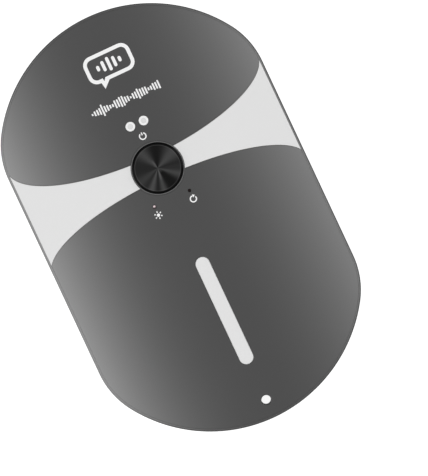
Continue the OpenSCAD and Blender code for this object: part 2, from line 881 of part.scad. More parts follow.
// Rubber boots that lead the sound from the holes in the case to the microphones
module microphone_boots() {
    boot_w = mic_size[0] + 1.35;
    boot_h = 2 * mic_up;
    color("#26262a") at_microphones() difference() {
        block(0, end_r - wall_t - boot_l / 2, board_top, [boot_w, boot_l, boot_h]);
        // Seat over the microphone's end
        block(0, end_r - mic_in, board_top - past, mic_size + [2 * fit_gap, 2 * fit_gap, past + fit_gap]);
        // Sound channel
        translate([0, end_r, mic_z]) rotate([90, 0, 0]) cylinder(r = mic_hole_r, h = mic_in);
        // The curved wall of the case
        difference() {
            block(0, end_r, board_top - past, [2 * boot_w, 2 * boot_l, boot_h + 2 * past]);
            cylinder(r = end_r - wall_t - fit_gap, h = body_t);
        }
    }
}

// ---- Chips ----

module radio_module() {
    color("#14483a") block(radio_x, chip_y, board_top, radio_size);
}

module radio_shield() {
    // The module's upper end stays free for the antenna
    can_y = chip_y - (radio_size[1] - radio_can[1]) / 2 + 0.5;
    color("#b9bcc1") can(radio_x, can_y, board_top + radio_size[2], radio_can, can_wall);
}

module processor_shield() {
    color("#b9bcc1") can(-radio_x, chip_y, board_top, processor_can, can_wall);
}

module processor_chip() {
    color("#232325") block(-radio_x, chip_y + 2, board_top, processor_size);
}

module memory_chip() {
    color("#232325") block(-radio_x, chip_y - 4.2, board_top, memory_size);
}

module charging_chip() {
    color("#232325") block(0, charger_y, board_top, charger_size);
}

// Inductors beside the charging chip, and a row of small capacitors on each side of the light bar
module board_passives() {
    color("#8c7a5c") for (side = [-1, 1]) {
        block(side * inductor_out, charger_y, board_top, inductor_size);
        for (i = [-2:2])
            block(side * capacitor_out, bar_y + i * capacitor_pitch, board_top, capacitor_size);
    }
}

// ---- Battery ----

module battery_cell() {
    fold_step = 0.6;
    fold_size = [tape_w, 2 * battery_fold, battery_t - 2 * fold_step];
    color("#b8bcc2") {
        translate([0, battery_y - battery_fold / 2, battery_z]) linear_extrude(battery_t)
            round_rect(battery_w, battery_l - battery_fold, battery_corner);
        // Folded end that carries the leads
        block(0, battery_top_y - battery_fold, battery_z + fold_step, fold_size);
    }
}

module battery_tape() {
    color("#d6cfae") block(0, battery_y - battery_fold / 2, floor_t, [tape_w, battery_l - 8, tape_t]);
}

module battery_socket() {
    color("#efece0")
        block(plug_x, plug_y + (plug_size[1] + socket_size[1]) / 2, board_z - socket_size[2], socket_size);
}

module battery_plug() {
    color("#f5f3ea") block(plug_x, plug_y, plug_z, plug_size);
}

// A red and a black lead from the battery's folded end to its plug
module battery_leads() {
    from = [battery_top_y, battery_z + battery_t / 2];
    to = [plug_y - plug_size[1] / 2, plug_z + plug_size[2] / 2];
    bend = 1.4;
    for (side = [-1, 1]) let (x = plug_x + side * 0.9) color(side < 0 ? "#b3272a" : "#1c1c1e") lead([
        [x, from[0], from[1]], [x, from[0] + bend, from[1]], [x, to[0] - bend, to[1]], [x, to[0], to[1]]
    ], 0.5);
}

// ---- Speaker ----

module speaker_basket() {
    color("#313134") {
        translate([0, speaker_y, speaker_z]) ring(speaker_r, speaker_r - speaker_rim, basket_h);
        // Back plate round the magnet
        translate([0, speaker_y, speaker_z + basket_h - joint])
            ring(speaker_r - 0.6, magnet_r + fit_gap, 1.1);
        // Tab for the leads
        block(0, lead_tab_y, speaker_z + basket_h - joint, lead_tab);
    }
}

// The magnet in its steel pot, with a step round its back
module speaker_magnet() {
    pot_h = speaker_z + speaker_t - pole_h - magnet_z;
    color("#a9adb3") translate([0, speaker_y, magnet_z]) {
        cylinder(r = magnet_r, h = pot_h);
        translate([0, 0, pot_h - joint]) cylinder(r = magnet_r - 0.65, h = pole_h + joint);
    }
}

// A thin domed film with a rolled edge
module speaker_diaphragm() {
    film = [[0, 0.62], [0.3, 0.72], [0.45, 1.1], [0.72, 0.5], [0.85, 0.3], [1, 0.55]];
    film_t = 0.17;
    color("#3a3b3f") translate([0, speaker_y, speaker_z]) rotate_extrude() polygon(concat(
        [for (p = film) [p[0] * cone_r, p[1]]],
        reversed([for (p = film) [p[0] * cone_r, p[1] + film_t]])
    ));
}

module speaker_gasket() {
    color("#1e1e20") translate([0, speaker_y, floor_t]) ring(speaker_r, speaker_r - speaker_rim, gasket_t);
}

module speaker_mesh() {
    color("#38383b") translate([0, speaker_y, floor_t]) cylinder(r = cone_r, h = 0.1);
}

// A red and a black lead from the basket's tab up to the board
module speaker_leads() {
    from = [lead_tab_y - lead_tab[1] / 2, speaker_z + basket_h - joint + lead_tab[2] / 2];
    to_y = from[0] - 3.4;
    bend = 2;
    for (side = [-1, 1]) let (x = side * 1.3) color(side < 0 ? "#b3272a" : "#1c1c1e") lead([
        [x, from[0], from[1]], [x, from[0] - bend, from[1]], [x, to_y, board_z - bend], [x, to_y, board_z]
    ], 0.4);
}

// ---- Screws ----

module case_screws() {
    head_z = recess_depth - head_h;
    slot = [1.2 * head_r, 0.5, past + 0.7];
    color("#9a9da3") at_screws() {
        difference() {
            translate([0, 0, head_z]) cylinder(r = head_r, h = head_h);
            // Cross recess
            for (turn = [0, 90]) rotate(turn) block(0, 0, head_z - past, slot);
        }
        translate([0, 0, recess_depth - joint])
            cylinder(r = screw_r, h = under_deck(screw_x) - recess_depth + joint);
    }
}

rear_shell();
front_shell();
upper_fascia();
lower_fascia();
band_inlay(-1);  // band_inlay_left
band_inlay(1);  // band_inlay_right
fascia_adhesive();
button_bezel();
button_cap();
button_carrier();
indicator_light_guide();
status_light_pipe();
light_bar_lens();
light_bar_baffle();
light_bar_leds();
indicator_leds();
status_led();
main_board();
power_switch_body();
power_switch_cover();
power_switch_plunger();
power_switch_dome();
reset_switch_body();
reset_switch_cover();
reset_switch_plunger();
reset_switch_dome();
charging_port_shell();
charging_port_tongue();
microphones();
microphone_boots();
radio_module();
radio_shield();
processor_chip();
memory_chip();
processor_shield();
charging_chip();
board_passives();
battery_cell();
battery_tape();
battery_leads();
battery_socket();
battery_plug();
speaker_basket();
speaker_magnet();
speaker_diaphragm();
speaker_gasket();
speaker_mesh();
speaker_leads();
case_screws();
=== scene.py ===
"""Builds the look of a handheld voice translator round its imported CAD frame.

Lengths are millimetres until a finished mesh is scaled to metres. X runs across the case, Y towards
its top end and Z out of its face. The arched face is modelled flat, and then lowered to its arch.
"""

from __future__ import annotations

import json
import logging
import math
from collections.abc import Callable, Iterable, Sequence
from dataclasses import dataclass, field, replace
from enum import Enum
from typing import Self

import bmesh
import bpy
from bmesh.types import BMesh, BMFace
from bpy.types import Material, Mesh, Node, NodeSocket, NodeTree, Object
from mathutils import Matrix, Vector

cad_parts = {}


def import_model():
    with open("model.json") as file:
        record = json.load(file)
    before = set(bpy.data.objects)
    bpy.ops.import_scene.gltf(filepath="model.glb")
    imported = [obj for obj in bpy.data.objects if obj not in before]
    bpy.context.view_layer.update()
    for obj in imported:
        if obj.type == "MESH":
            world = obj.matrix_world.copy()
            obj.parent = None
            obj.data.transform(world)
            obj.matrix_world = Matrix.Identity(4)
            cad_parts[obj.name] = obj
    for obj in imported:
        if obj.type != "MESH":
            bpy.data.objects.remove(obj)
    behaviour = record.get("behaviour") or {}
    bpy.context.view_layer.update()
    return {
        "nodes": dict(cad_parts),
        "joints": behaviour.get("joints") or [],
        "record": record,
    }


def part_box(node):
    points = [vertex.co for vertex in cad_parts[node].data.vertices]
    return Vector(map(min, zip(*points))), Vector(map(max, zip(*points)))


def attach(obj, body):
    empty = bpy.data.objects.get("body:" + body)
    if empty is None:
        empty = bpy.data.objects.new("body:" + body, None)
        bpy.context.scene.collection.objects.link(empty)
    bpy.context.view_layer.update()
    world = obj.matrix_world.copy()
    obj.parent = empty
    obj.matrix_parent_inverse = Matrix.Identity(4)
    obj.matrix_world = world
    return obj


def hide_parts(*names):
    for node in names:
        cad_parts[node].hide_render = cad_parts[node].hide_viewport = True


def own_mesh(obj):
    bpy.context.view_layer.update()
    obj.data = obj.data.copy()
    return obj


MM = 0.001
Point = tuple[float, float]
Triple = tuple[float, float, float]
Rings = list[tuple[list[Point], float]]
# What an input is linked to: an output, or a node, which stands for its first output in use
Output = Node | NodeSocket
log = logging.getLogger("translator")


# ---- Outlines ----


def arc(centre: Point, radius: float, start: float, end: float, steps: int) -> list[Point]:
    """Points along an arc.

    Args:
        centre: The arc's centre.
        radius: Its radius.
        start: The angle of its first point, in degrees from X.
        end: The angle of its last point.
        steps: The number of pieces that it is divided into.

    Returns:
        The points, both ends among them.
    """
    turns = [math.radians(start + (end - start) * i / steps) for i in range(steps + 1)]
    return [(centre[0] + radius * math.cos(a), centre[1] + radius * math.sin(a)) for a in turns]


def circle(centre: Point, radius: float, sides: int = 40) -> list[Point]:
    """The points of a whole circle."""
    return arc(centre, radius, 0, 360, sides)[:-1]


def round_rect(centre: Point, width: float, height: float, radius: float, steps: int = 8) -> list[Point]:
    """The points of a rectangle with round corners.

    Args:
        centre: The rectangle's middle.
        width: Its size along X.
        height: Its size along Y.
        radius: The radius of its corners.
        steps: The number of pieces in each corner.

    Returns:
        The points, anticlockwise.
    """
    across, up = width / 2 - radius, height / 2 - radius
    corners = [(across, up, 0), (-across, up, 90), (-across, -up, 180), (across, -up, 270)]
    points: list[Point] = []
    for x, y, turn in corners:
        points += arc((centre[0] + x, centre[1] + y), radius, turn, turn + 90, steps)
    return [p for i, p in enumerate(points) if math.dist(p, points[i - 1]) > 1e-6]


def quarter_round(radius: float, steps: int) -> list[Point]:
    """A quarter of a circle that leads from an upright side in to a level top.

    Args:
        radius: Its radius.
        steps: The number of pieces that it is divided into.

    Returns:
        How far in and how far up each point lies.
    """
    return [(radius + x, y) for x, y in arc((0, 0), -radius, 0, -90, steps)]


def split_sides(points: Sequence[Point], longest: float) -> list[Point]:
    """Splits a closed outline's long sides, so that it can follow a bend.

    Args:
        points: The outline.
        longest: The longest side that is left whole.

    Returns:
        The outline with the added points.
    """
    split = []
    for a, b in zip(points, [*points[1:], points[0]]):
        parts = math.ceil(math.dist(a, b) / longest)
        split += [(a[0] + (b[0] - a[0]) * k / parts, a[1] + (b[1] - a[1]) * k / parts) for k in range(parts)]
    return split


def drawn_in(points: Sequence[Point], distance: float) -> list[Point]:
    """Moves a closed outline's points inwards, or outwards where the distance is negative.

    Args:
        points: The outline, anticlockwise.
        distance: How far each side moves.

    Returns:
        The moved points, as many as before.
    """
    moved = []
    for i, (x, y) in enumerate(points):
        (left, low), (right, high) = points[i - 1], points[(i + 1) % len(points)]
        before, after = Vector((x - left, y - low)).normalized(), Vector((right - x, high - y)).normalized()
        inward = Vector((-before.y, before.x)) + Vector((-after.y, after.x))
        # A sharp tip draws in by three times the distance at most
        reach = distance * min(2 / max(inward.length_squared, 1e-9), 3 / max(inward.length, 1e-9))
        moved.append((x + inward.x * reach, y + inward.y * reach))
    return moved


class Span:
    """Where a CAD node lies at rest, to a hundredth of a millimetre."""

    def __init__(self, node: str) -> None:
        """Measures a node.

        Args:
            node: The node's name.
        """
        low, high = (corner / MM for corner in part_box(node))
        self.low = tuple(round(v, 2) for v in low)
        self.high = tuple(round(v, 2) for v in high)
        self.size = tuple(round(v, 2) for v in high - low)
        self.middle = tuple(round(v / 2, 2) for v in low + high)


@dataclass(frozen=True)
class CaseForm:
    """The case's outline, its heights, the arch of its face and the places on it.

    The sizes that have no value here are taken from the frame.
    """

    half_width: float
    half_length: float
    face: float
    plate_foot: float
    plate_reach: float
    board: float
    board_top: float
    screws: tuple[Point, ...]
    lanyard: Point
    lanyard_radius: float
    light_bar: Point
    light_bar_size: Point
    guide_foot: float
    button: Point
    button_radius: float
    ring_flange: float
    ring_seat: float
    indicators: tuple[Point, Point]
    indicator_radius: float
    status: Point
    pinhole: Point
    marker_radius: float
    speaker: Point
    end_radius: float = 34.6
    corner_radius: float = 18.8
    crown_rise: float = 1.2
    wall: float = 1.6
    back_edge: float = 3.0
    seam: float = 5.6
    seam_bevel: float = 0.12
    deck: float = 10.4
    deck_top: float = 11.9
    cut_low: float = 9.0
    cut_high: float = 14.0
    rim: float = 0.55
    plate_inset: float = 0.565
    lanyard_post: float = 2.4
    ring_clearance: float = 0.08
    ring_wall: float = 0.27
    cap_bevel: float = 0.5
    fit: float = 0.05

    @classmethod
    def measured(cls, mounts: Iterable[dict], flange: float = 0.9, screw_head: float = 1.85) -> CaseForm:
        """Takes the sizes of the case from the frame.

        Args:
            mounts: The record's mounts.
            flange: How far the light guides reach past their windows.
            screw_head: The radius of a screw's head.

        Returns:
            The form.
        """
        shell, board, cap, ring = map(Span, ("front_shell", "main_board", "button_cap", "button_bezel"))
        guide, pipe, bar = map(Span, ("indicator_light_guide", "status_light_pipe", "light_bar_lens"))
        x, y = (round(reach - screw_head, 2) for reach in Span("case_screws").high[:2])
        hole = next(mount for mount in mounts if mount["name"] == "lanyard_hole")
        spread = round(guide.high[0] - guide.size[1] / 2, 2)
        return cls(
            half_width=shell.high[0],
            half_length=shell.high[1],
            face=shell.high[2],
            plate_foot=Span("fascia_adhesive").high[2],
            plate_reach=Span("lower_fascia").high[0],
            board=board.low[2],
            board_top=board.high[2],
            screws=((x, y), (-x, y), (-x, -y), (x, -y)),
            lanyard=tuple(round(v / MM, 2) for v in hole["pos_m"][:2]),
            lanyard_radius=hole["dims"]["r_mm"],
            light_bar=bar.middle[:2],
            light_bar_size=tuple(round(size - 2 * flange, 2) for size in bar.size[:2]),
            guide_foot=bar.low[2],
            button=cap.middle[:2],
            button_radius=cap.size[0] / 2,
            ring_flange=ring.high[0],
            ring_seat=ring.low[2],
            indicators=((-spread, guide.middle[1]), (spread, guide.middle[1])),
            indicator_radius=round(guide.size[1] / 2 - flange, 2),
            status=pipe.middle[:2],
            pinhole=Span("reset_switch_body").middle[:2],
            marker_radius=round(pipe.size[0] / 2 - flange, 2),
            speaker=Span("speaker_gasket").middle[:2],
        )

    @property
    def ring_inner(self) -> float:
        """Radius of the trim ring's bore."""
        return self.button_radius + self.ring_clearance

    @property
    def ring_outer(self) -> float:
        """Radius of the trim ring where it stands in the plates."""
        return self.ring_inner + self.ring_wall

    @property
    def end_middle(self) -> float:
        """Distance of the end arcs' centres from the middle of the case."""
        return self.half_length - self.end_radius

    @property
    def arch_foot(self) -> float:
        """Height above which a shape that is modelled flat follows the arch."""
        return self.deck - 0.1

    @property
    def corner_middle(self) -> Point:
        """Centre of the corner arc at the top right."""
        x = self.half_width - self.corner_radius
        return x, self.end_middle + math.sqrt((self.end_radius - self.corner_radius) ** 2 - x * x)

    @property
    def crown_radius(self) -> float:
        """Radius of the arch across the face."""
        return (self.half_width**2 + self.crown_rise**2) / (2 * self.crown_rise)

    def drop(self, x: float) -> float:
        """How far the arched face lies below its middle, at x."""
        return self.crown_radius - math.sqrt(self.crown_radius**2 - x * x)

    def outline(self, inset: float, step: float = 1.9) -> list[Point]:
        """The case's outline.

        Args:
            inset: How far the outline is drawn in.
            step: The angle of each piece of its arcs, in degrees.

        Returns:
            The points, anticlockwise from the right side's upper end.
        """
        cx, cy = self.corner_middle
        turn = math.degrees(math.atan2(cy - self.end_middle, cx))
        few, many = math.ceil(turn / step), math.ceil((180 - 2 * turn) / step)
        corner, end = self.corner_radius - inset, self.end_radius - inset
        upper = arc((cx, cy), corner, 0, turn, few)
        upper += arc((0, self.end_middle), end, turn, 180 - turn, many)[1:]
        upper += arc((-cx, cy), corner, 180 - turn, 180, few)[1:]
        return upper + [(-x, -y) for x, y in upper]

    def outward(self, x: float, y: float) -> Vector | None:
        """The level direction in which the outer wall faces.

        Args:
            x: The place's distance from the centre line.
            y: Its distance from the middle of the case.

        Returns:
            The direction, or nothing where the place isn't on the outer wall.
        """
        cx, cy = self.corner_middle
        turn = math.atan2(cy - self.end_middle, cx)
        out = Vector((abs(x), abs(y) - self.end_middle))
        radius = self.end_radius
        if abs(y) <= cy:
            out, radius = Vector((abs(x), 0)), self.half_width
        elif math.atan2(out.y, out.x) < turn:
            out, radius = Vector((abs(x) - cx, abs(y) - cy)), self.corner_radius
        if abs(out.length - radius) > 0.02:
            return None
        out.normalize()
        return Vector((math.copysign(out.x, x), math.copysign(out.y, y), 0))

    def side(self, y: float, inset: float) -> float:
        """Distance from the centre line to the drawn-in outline, at y up to the end of the corner arc."""
        cx, cy = self.corner_middle
        return cx + math.sqrt((self.corner_radius - inset) ** 2 - max(0.0, abs(y) - cy) ** 2)

    def bar_outline(self, out: float = 0.0, steps: int = 16) -> list[Point]:
        """The light bar's outline, drawn out by a distance, with a number of pieces in each corner."""
        width, length = (size + 2 * out for size in self.light_bar_size)
        return round_rect(self.light_bar, width, length, width / 2, steps)


# ---- Shapes ----


class Facing(Enum):
    """Which way a level part of a shape faces before the face is arched."""

    SLOPED = 0
    UP = 1
    DOWN = -1


def placed(name: str, data: bpy.types.ID) -> Object:
    """Makes an object and puts it in the scene.

    Args:
        name: The object's name.
        data: Its mesh, lamp or camera.

    Returns:
        The object.
    """
    made = bpy.data.objects.new(name, data)
    bpy.context.scene.collection.objects.link(made)
    return made


def kept(host: Object, *passing: Object) -> Mesh:
    """Keeps what an object's modifiers make as a plain mesh.

    Args:
        host: The object, which is removed.
        passing: The objects that its modifiers use, which are removed with it.

    Returns:
        The mesh.
    """
    graph = bpy.context.evaluated_depsgraph_get()
    mesh = bpy.data.meshes.new_from_object(host.evaluated_get(graph))
    host.modifiers.clear()
    for made in (host, *passing):
        bpy.data.objects.remove(made)
    return mesh


def face_outwards(made: BMesh) -> None:
    """Turns the faces of closed solids outwards.

    Args:
        made: The mesh.
    """
    bmesh.ops.recalc_face_normals(made, faces=made.faces)
    if made.calc_volume(signed=True) < 0:
        bmesh.ops.reverse_faces(made, faces=made.faces)


class Shape:
    """A closed mesh, to which others are joined and from which others are cut."""

    WELD = 1e-3
    STRIP = 2.0
    SHARP = 34.0

    def __init__(self, mesh: Mesh) -> None:
        """Wraps a mesh that has its sizes in millimetres."""
        self.mesh = mesh

    @classmethod
    def of(cls, points: Iterable[Sequence[float]], faces: Iterable[Sequence[int]]) -> Shape:
        """A shape from its corners and faces.

        Args:
            points: The corners.
            faces: The corners of each face, by number.

        Returns:
            The shape, with its doubled corners merged and its faces turned outwards.
        """
        mesh = bpy.data.meshes.new("shape")
        mesh.from_pydata([tuple(p) for p in points], [], [tuple(f) for f in faces])
        made = bmesh.new()
        made.from_mesh(mesh)
        bmesh.ops.remove_doubles(made, verts=made.verts, dist=1e-5)
        face_outwards(made)
        made.to_mesh(mesh)
        made.free()
        return cls(mesh)

    @classmethod
    def loft(cls, rings: Rings, closed: bool = False) -> Shape:
        """A shape through outlines at several heights.

        Args:
            rings: Each outline with its height. All have as many points.
            closed: Whether the last outline joins the first, as on a tube, and nothing closes the ends.

        Returns:
            The shape.
        """
        count, last = len(rings[0][0]), len(rings)
        points = [(x, y, z) for outline, z in rings for x, y in outline]
        faces: list[list[int]] = []
        for i in range(last if closed else last - 1):
            a, b = i * count, (i + 1) % last * count
            faces += [[a + k, a + (k + 1) % count, b + (k + 1) % count, b + k] for k in range(count)]
        if not closed:
            if math.dist(rings[0][0][0], rings[0][0][1]) > 1e-6:
                faces.append(list(range(count))[::-1])
            if math.dist(rings[-1][0][0], rings[-1][0][1]) > 1e-6:
                faces.append([(last - 1) * count + k for k in range(count)])
        return cls.of(points, faces)

    @classmethod
    def turned(
        cls, profile: Sequence[Point], centre: Point = (0, 0), sides: int = 48, closed: bool = False
    ) -> Shape:
        """A shape of revolution about an upright axis.

        Args:
            profile: Radius and height of each point of its section, from one end to the other.
            centre: Where the axis stands.
            sides: The number of pieces round it.
            closed: Whether the section is a loop.

        Returns:
            The shape.
        """
        return cls.loft([(circle(centre, r, sides), z) for r, z in profile], closed)

    @classmethod
    def sheet(
        cls, outline: Sequence[Point], low: float, high: float, edge: float = 0, under: float = 0
    ) -> Shape:
        """A level sheet or bar with upright sides.

        Args:
            outline: Its outline, anticlockwise.
            low: The height of its underside.
            high: The height of its top.
            edge: The radius of its upper edge.
            under: The size of the bevel round its underside.

        Returns:
            The shape.
        """
        rings = [(drawn_in(outline, under), low)] if under else []
        rings.append((list(outline), low + under))
        if edge:
            rings.append((list(outline), high - 1.6 * edge))
            rings += [(drawn_in(outline, x), high - edge + y) for x, y in quarter_round(edge, 3)]
        else:
            rings.append((list(outline), high))
        return cls.loft(rings)

    @classmethod
    def window(cls, outline: Sequence[Point], low: float, face: float, flare: float) -> Shape:
        """What is cut out for an opening whose edge is softened at the surface.

        Args:
            outline: The opening's outline, anticlockwise.
            low: The height at which the cut starts.
            face: The height of the surface that it opens in.
            flare: How far the softened edge reaches.

        Returns:
            The shape to cut.
        """
        steps = [(0, low), (0, face - flare), (0.3 * flare, face - 0.3 * flare)]
        steps += [(2 * flare, face + 0.3 * flare), (2 * flare, face + 1)]
        return cls.loft([(drawn_in(outline, -out) if out else list(outline), z) for out, z in steps])

    def moved(self, change: Callable[[Vector], Sequence[float]]) -> Shape:
        """Moves each corner.

        Args:
            change: Gives a corner's new place from its place.

        Returns:
            This shape, with its faces turned outwards.
        """
        made = bmesh.new()
        made.from_mesh(self.mesh)
        for vertex in made.verts:
            vertex.co = change(vertex.co)
        face_outwards(made)
        made.to_mesh(self.mesh)
        made.free()
        return self

    def joined(self, *others: Shape) -> Shape:
        """This shape with the others added to it."""
        return self._combined(others, "UNION")

    def cut(self, *others: Shape) -> Shape:
        """This shape with the others taken out of it."""
        return self._combined(others, "DIFFERENCE")

    def _combined(self, others: Sequence[Shape], operation: str) -> Shape:
        """Joins or cuts with exact solids.

        Args:
            others: The shapes that are joined or cut, in order.
            operation: Blender's name of the operation.

        Returns:
            The new shape.
        """
        host, *tools = [placed("work", shape.mesh) for shape in (self, *others)]
        for tool in tools:
            step = host.modifiers.new("solid", "BOOLEAN")
            step.operation, step.solver, step.object = operation, "MANIFOLD", tool
        return Shape(kept(host, *tools))

    def piece(self, name: str, finish: Material, form: CaseForm, arched: bool) -> Object:
        """Turns the shape into a finished object at the origin, in metres.

        Args:
            name: The object's name.
            finish: Its material.
            form: The case.
            arched: Whether the parts of the shape that lie in the face follow its arch.

        Returns:
            The object.
        """
        made = bmesh.new()
        made.from_mesh(self.mesh)
        bmesh.ops.remove_doubles(made, verts=made.verts, dist=self.WELD)
        bmesh.ops.dissolve_degenerate(made, edges=made.edges, dist=self.WELD)
        if arched:
            self._sliced(made, form)
        bmesh.ops.triangulate(made, faces=[f for f in made.faces if len(f.verts) > 4])
        made.normal_update()
        facing = [self._facing(f) for f in made.faces]
        for vertex in made.verts:
            if arched and vertex.co.z > form.arch_foot:
                vertex.co.z -= form.drop(vertex.co.x)
        mesh = bpy.data.meshes.new(name)
        made.to_mesh(mesh)
        made.free()
        mesh.shade_smooth()
        mesh.set_sharp_from_angle(angle=math.radians(self.SHARP))
        mesh.normals_split_custom_set(self._normals(mesh, facing, form, arched))
        mesh.transform(Matrix.Scale(MM, 4))
        mesh.materials.clear()
        mesh.materials.append(finish)
        return placed(name, mesh)

    @staticmethod
    def _facing(face: BMFace) -> Facing:
        """Tells whether a face is level, and which way it then faces.

        Args:
            face: The face.

        Returns:
            The way.
        """
        if abs(face.normal.z) < 0.9999:
            return Facing.SLOPED
        return Facing.UP if face.normal.z > 0 else Facing.DOWN

    @staticmethod
    def _sliced(made: BMesh, form: CaseForm) -> None:
        """Slices the level faces near the face into strips along Y, so that they can follow its arch.

        Args:
            made: The mesh.
            form: The case.
        """

        def level() -> list[BMFace]:
            """The level faces that follow the arch."""
            flat = [f for f in made.faces if abs(f.normal.z) > 0.5]
            return [f for f in flat if f.calc_center_median().z > form.arch_foot]

        made.normal_update()
        bmesh.ops.triangulate(made, faces=level())
        reach = int(form.half_width / Shape.STRIP)
        for k in range(-reach, reach + 1):
            x = Shape.STRIP * k
            faces = [f for f in level() if min(v.co.x for v in f.verts) < x < max(v.co.x for v in f.verts)]
            parts = {p for f in faces for p in (*f.verts, *f.edges)}
            bmesh.ops.bisect_plane(
                made, geom=[*parts, *faces], plane_co=(x, 0, 0), plane_no=(1, 0, 0), dist=1e-6
            )
            made.normal_update()

    @staticmethod
    def _normals(mesh: Mesh, facing: Sequence[Facing], form: CaseForm, arched: bool) -> list[Vector]:
        """The shading direction of each corner of each face.

        Args:
            mesh: The mesh, in millimetres.
            facing: Which way each face was facing before the arch.
            form: The case.
            arched: Whether the shape follows the case's arch.

        Returns:
            The exact direction on level and arched faces and on the case's outer wall, and zero, which
            leaves it to Blender, elsewhere.
        """
        normals = [Vector((0, 0, 0))] * len(mesh.loops)
        for face in mesh.polygons:
            way = facing[face.index].value
            upright = abs(face.normal.z) < 0.01
            if not way and not upright:
                continue
            for k in face.loop_indices:
                x, y, z = mesh.vertices[mesh.loops[k].vertex_index].co
                if upright:
                    out = form.outward(x, y)
                    if out is not None and out.dot(face.normal) > 0.99:
                        normals[k] = out
                    continue
                tilt = x / form.crown_radius if arched and z > form.arch_foot - form.crown_rise else 0
                normals[k] = way * Vector((tilt, 0, math.sqrt(1 - tilt * tilt)))
        return normals


# ---- Nodes ----


def linear(colour: str) -> tuple[float, float, float, float]:
    """Turns an sRGB hex colour into the linear values that Blender holds.

    Args:
        colour: The colour, such as #a8a8a8.

    Returns:
        Its red, green and blue, and full cover.
    """
    parts = [int(colour[i : i + 2], 16) / 255 for i in (1, 3, 5)]
    red, green, blue = (c / 12.92 if c <= 0.04045 else ((c + 0.055) / 1.055) ** 2.4 for c in parts)
    return red, green, blue, 1.0


@dataclass
class Wiring:
    """A tree of nodes that is being wired."""

    tree: NodeTree

    @classmethod
    def of(cls, owner: Material | bpy.types.World, *more: object) -> Self:
        """Starts the nodes of a material or a world.

        Args:
            owner: The material or the world.
            more: What else the wiring holds.

        Returns:
            The wiring, with no node yet.
        """
        owner.use_nodes = True
        owner.node_tree.nodes.clear()
        return cls(owner.node_tree, *more)

    def add(self, kind: str, inputs: dict[int | str, object] | None = None, **settings: object) -> Node:
        """Adds a node.

        Args:
            kind: Blender's name of the kind of node, of a shader node without its ShaderNode.
            inputs: For each of its inputs, by name or number, a value, or what it is linked to.
            settings: The node's own settings.

        Returns:
            The node.
        """
        made = self.tree.nodes.new(kind if "Node" in kind else f"ShaderNode{kind}")
        for name, value in settings.items():
            setattr(made, name, value)
        for key, value in (inputs or {}).items():
            if isinstance(value, Node):
                value = next(output for output in value.outputs if output.enabled)
            if isinstance(value, NodeSocket):
                self.tree.links.new(value, made.inputs[key])
            else:
                made.inputs[key].default_value = value
        return made


@dataclass
class Skin(Wiring):
    """A material's nodes, the case that it lies on, and the outputs that its parts share."""

    form: CaseForm
    place: Output | None = None
    pattern: Output | None = None

    def towards_sides(
        self, middle: Output | Sequence[float], sides: Sequence[tuple[str, float]], reach: float
    ) -> Output:
        """A colour that changes from the centre line to both sides of the case.

        Args:
            middle: The colour on the centre line.
            sides: The colour at the left and at the right, each with the power that holds it back.
            reach: The distance of the sides from the centre line.

        Returns:
            What carries the colour.
        """
        across = self.add("SeparateXYZ", {0: self.place}).outputs[0]
        for way, (colour, fall) in zip((-1, 1), sides):
            share = self.add("MapRange", {0: across, 1: 0.0, 2: way * reach * MM})
            bent = self.add("Math", {0: share, 1: fall}, operation="POWER")
            middle = self.add("Mix", {0: bent, 6: middle, 7: linear(colour)}, data_type="RGBA")
        return middle


# ---- Finishes ----


class Grain(Enum):
    """How a surface was made, which gives it its pattern."""

    SPARKED = "fine even pits from a spark-eroded mould"
    ROLLED = "fine lines along Y from rolling or drawing"
    CREASED = "soft creases of thin foil over a cell"
    POWDER = "specks of a pressed or filled powder"
    WOVEN = "crossed threads"


# Waves per metre that a wave texture draws at scale 1
WAVES = 3.3
# How much of the grain is in a colour's drift, and the range over which it drifts
GRAIN_SHARE = 0.6
DRIFT_RANGE = (0.5, 1.1)


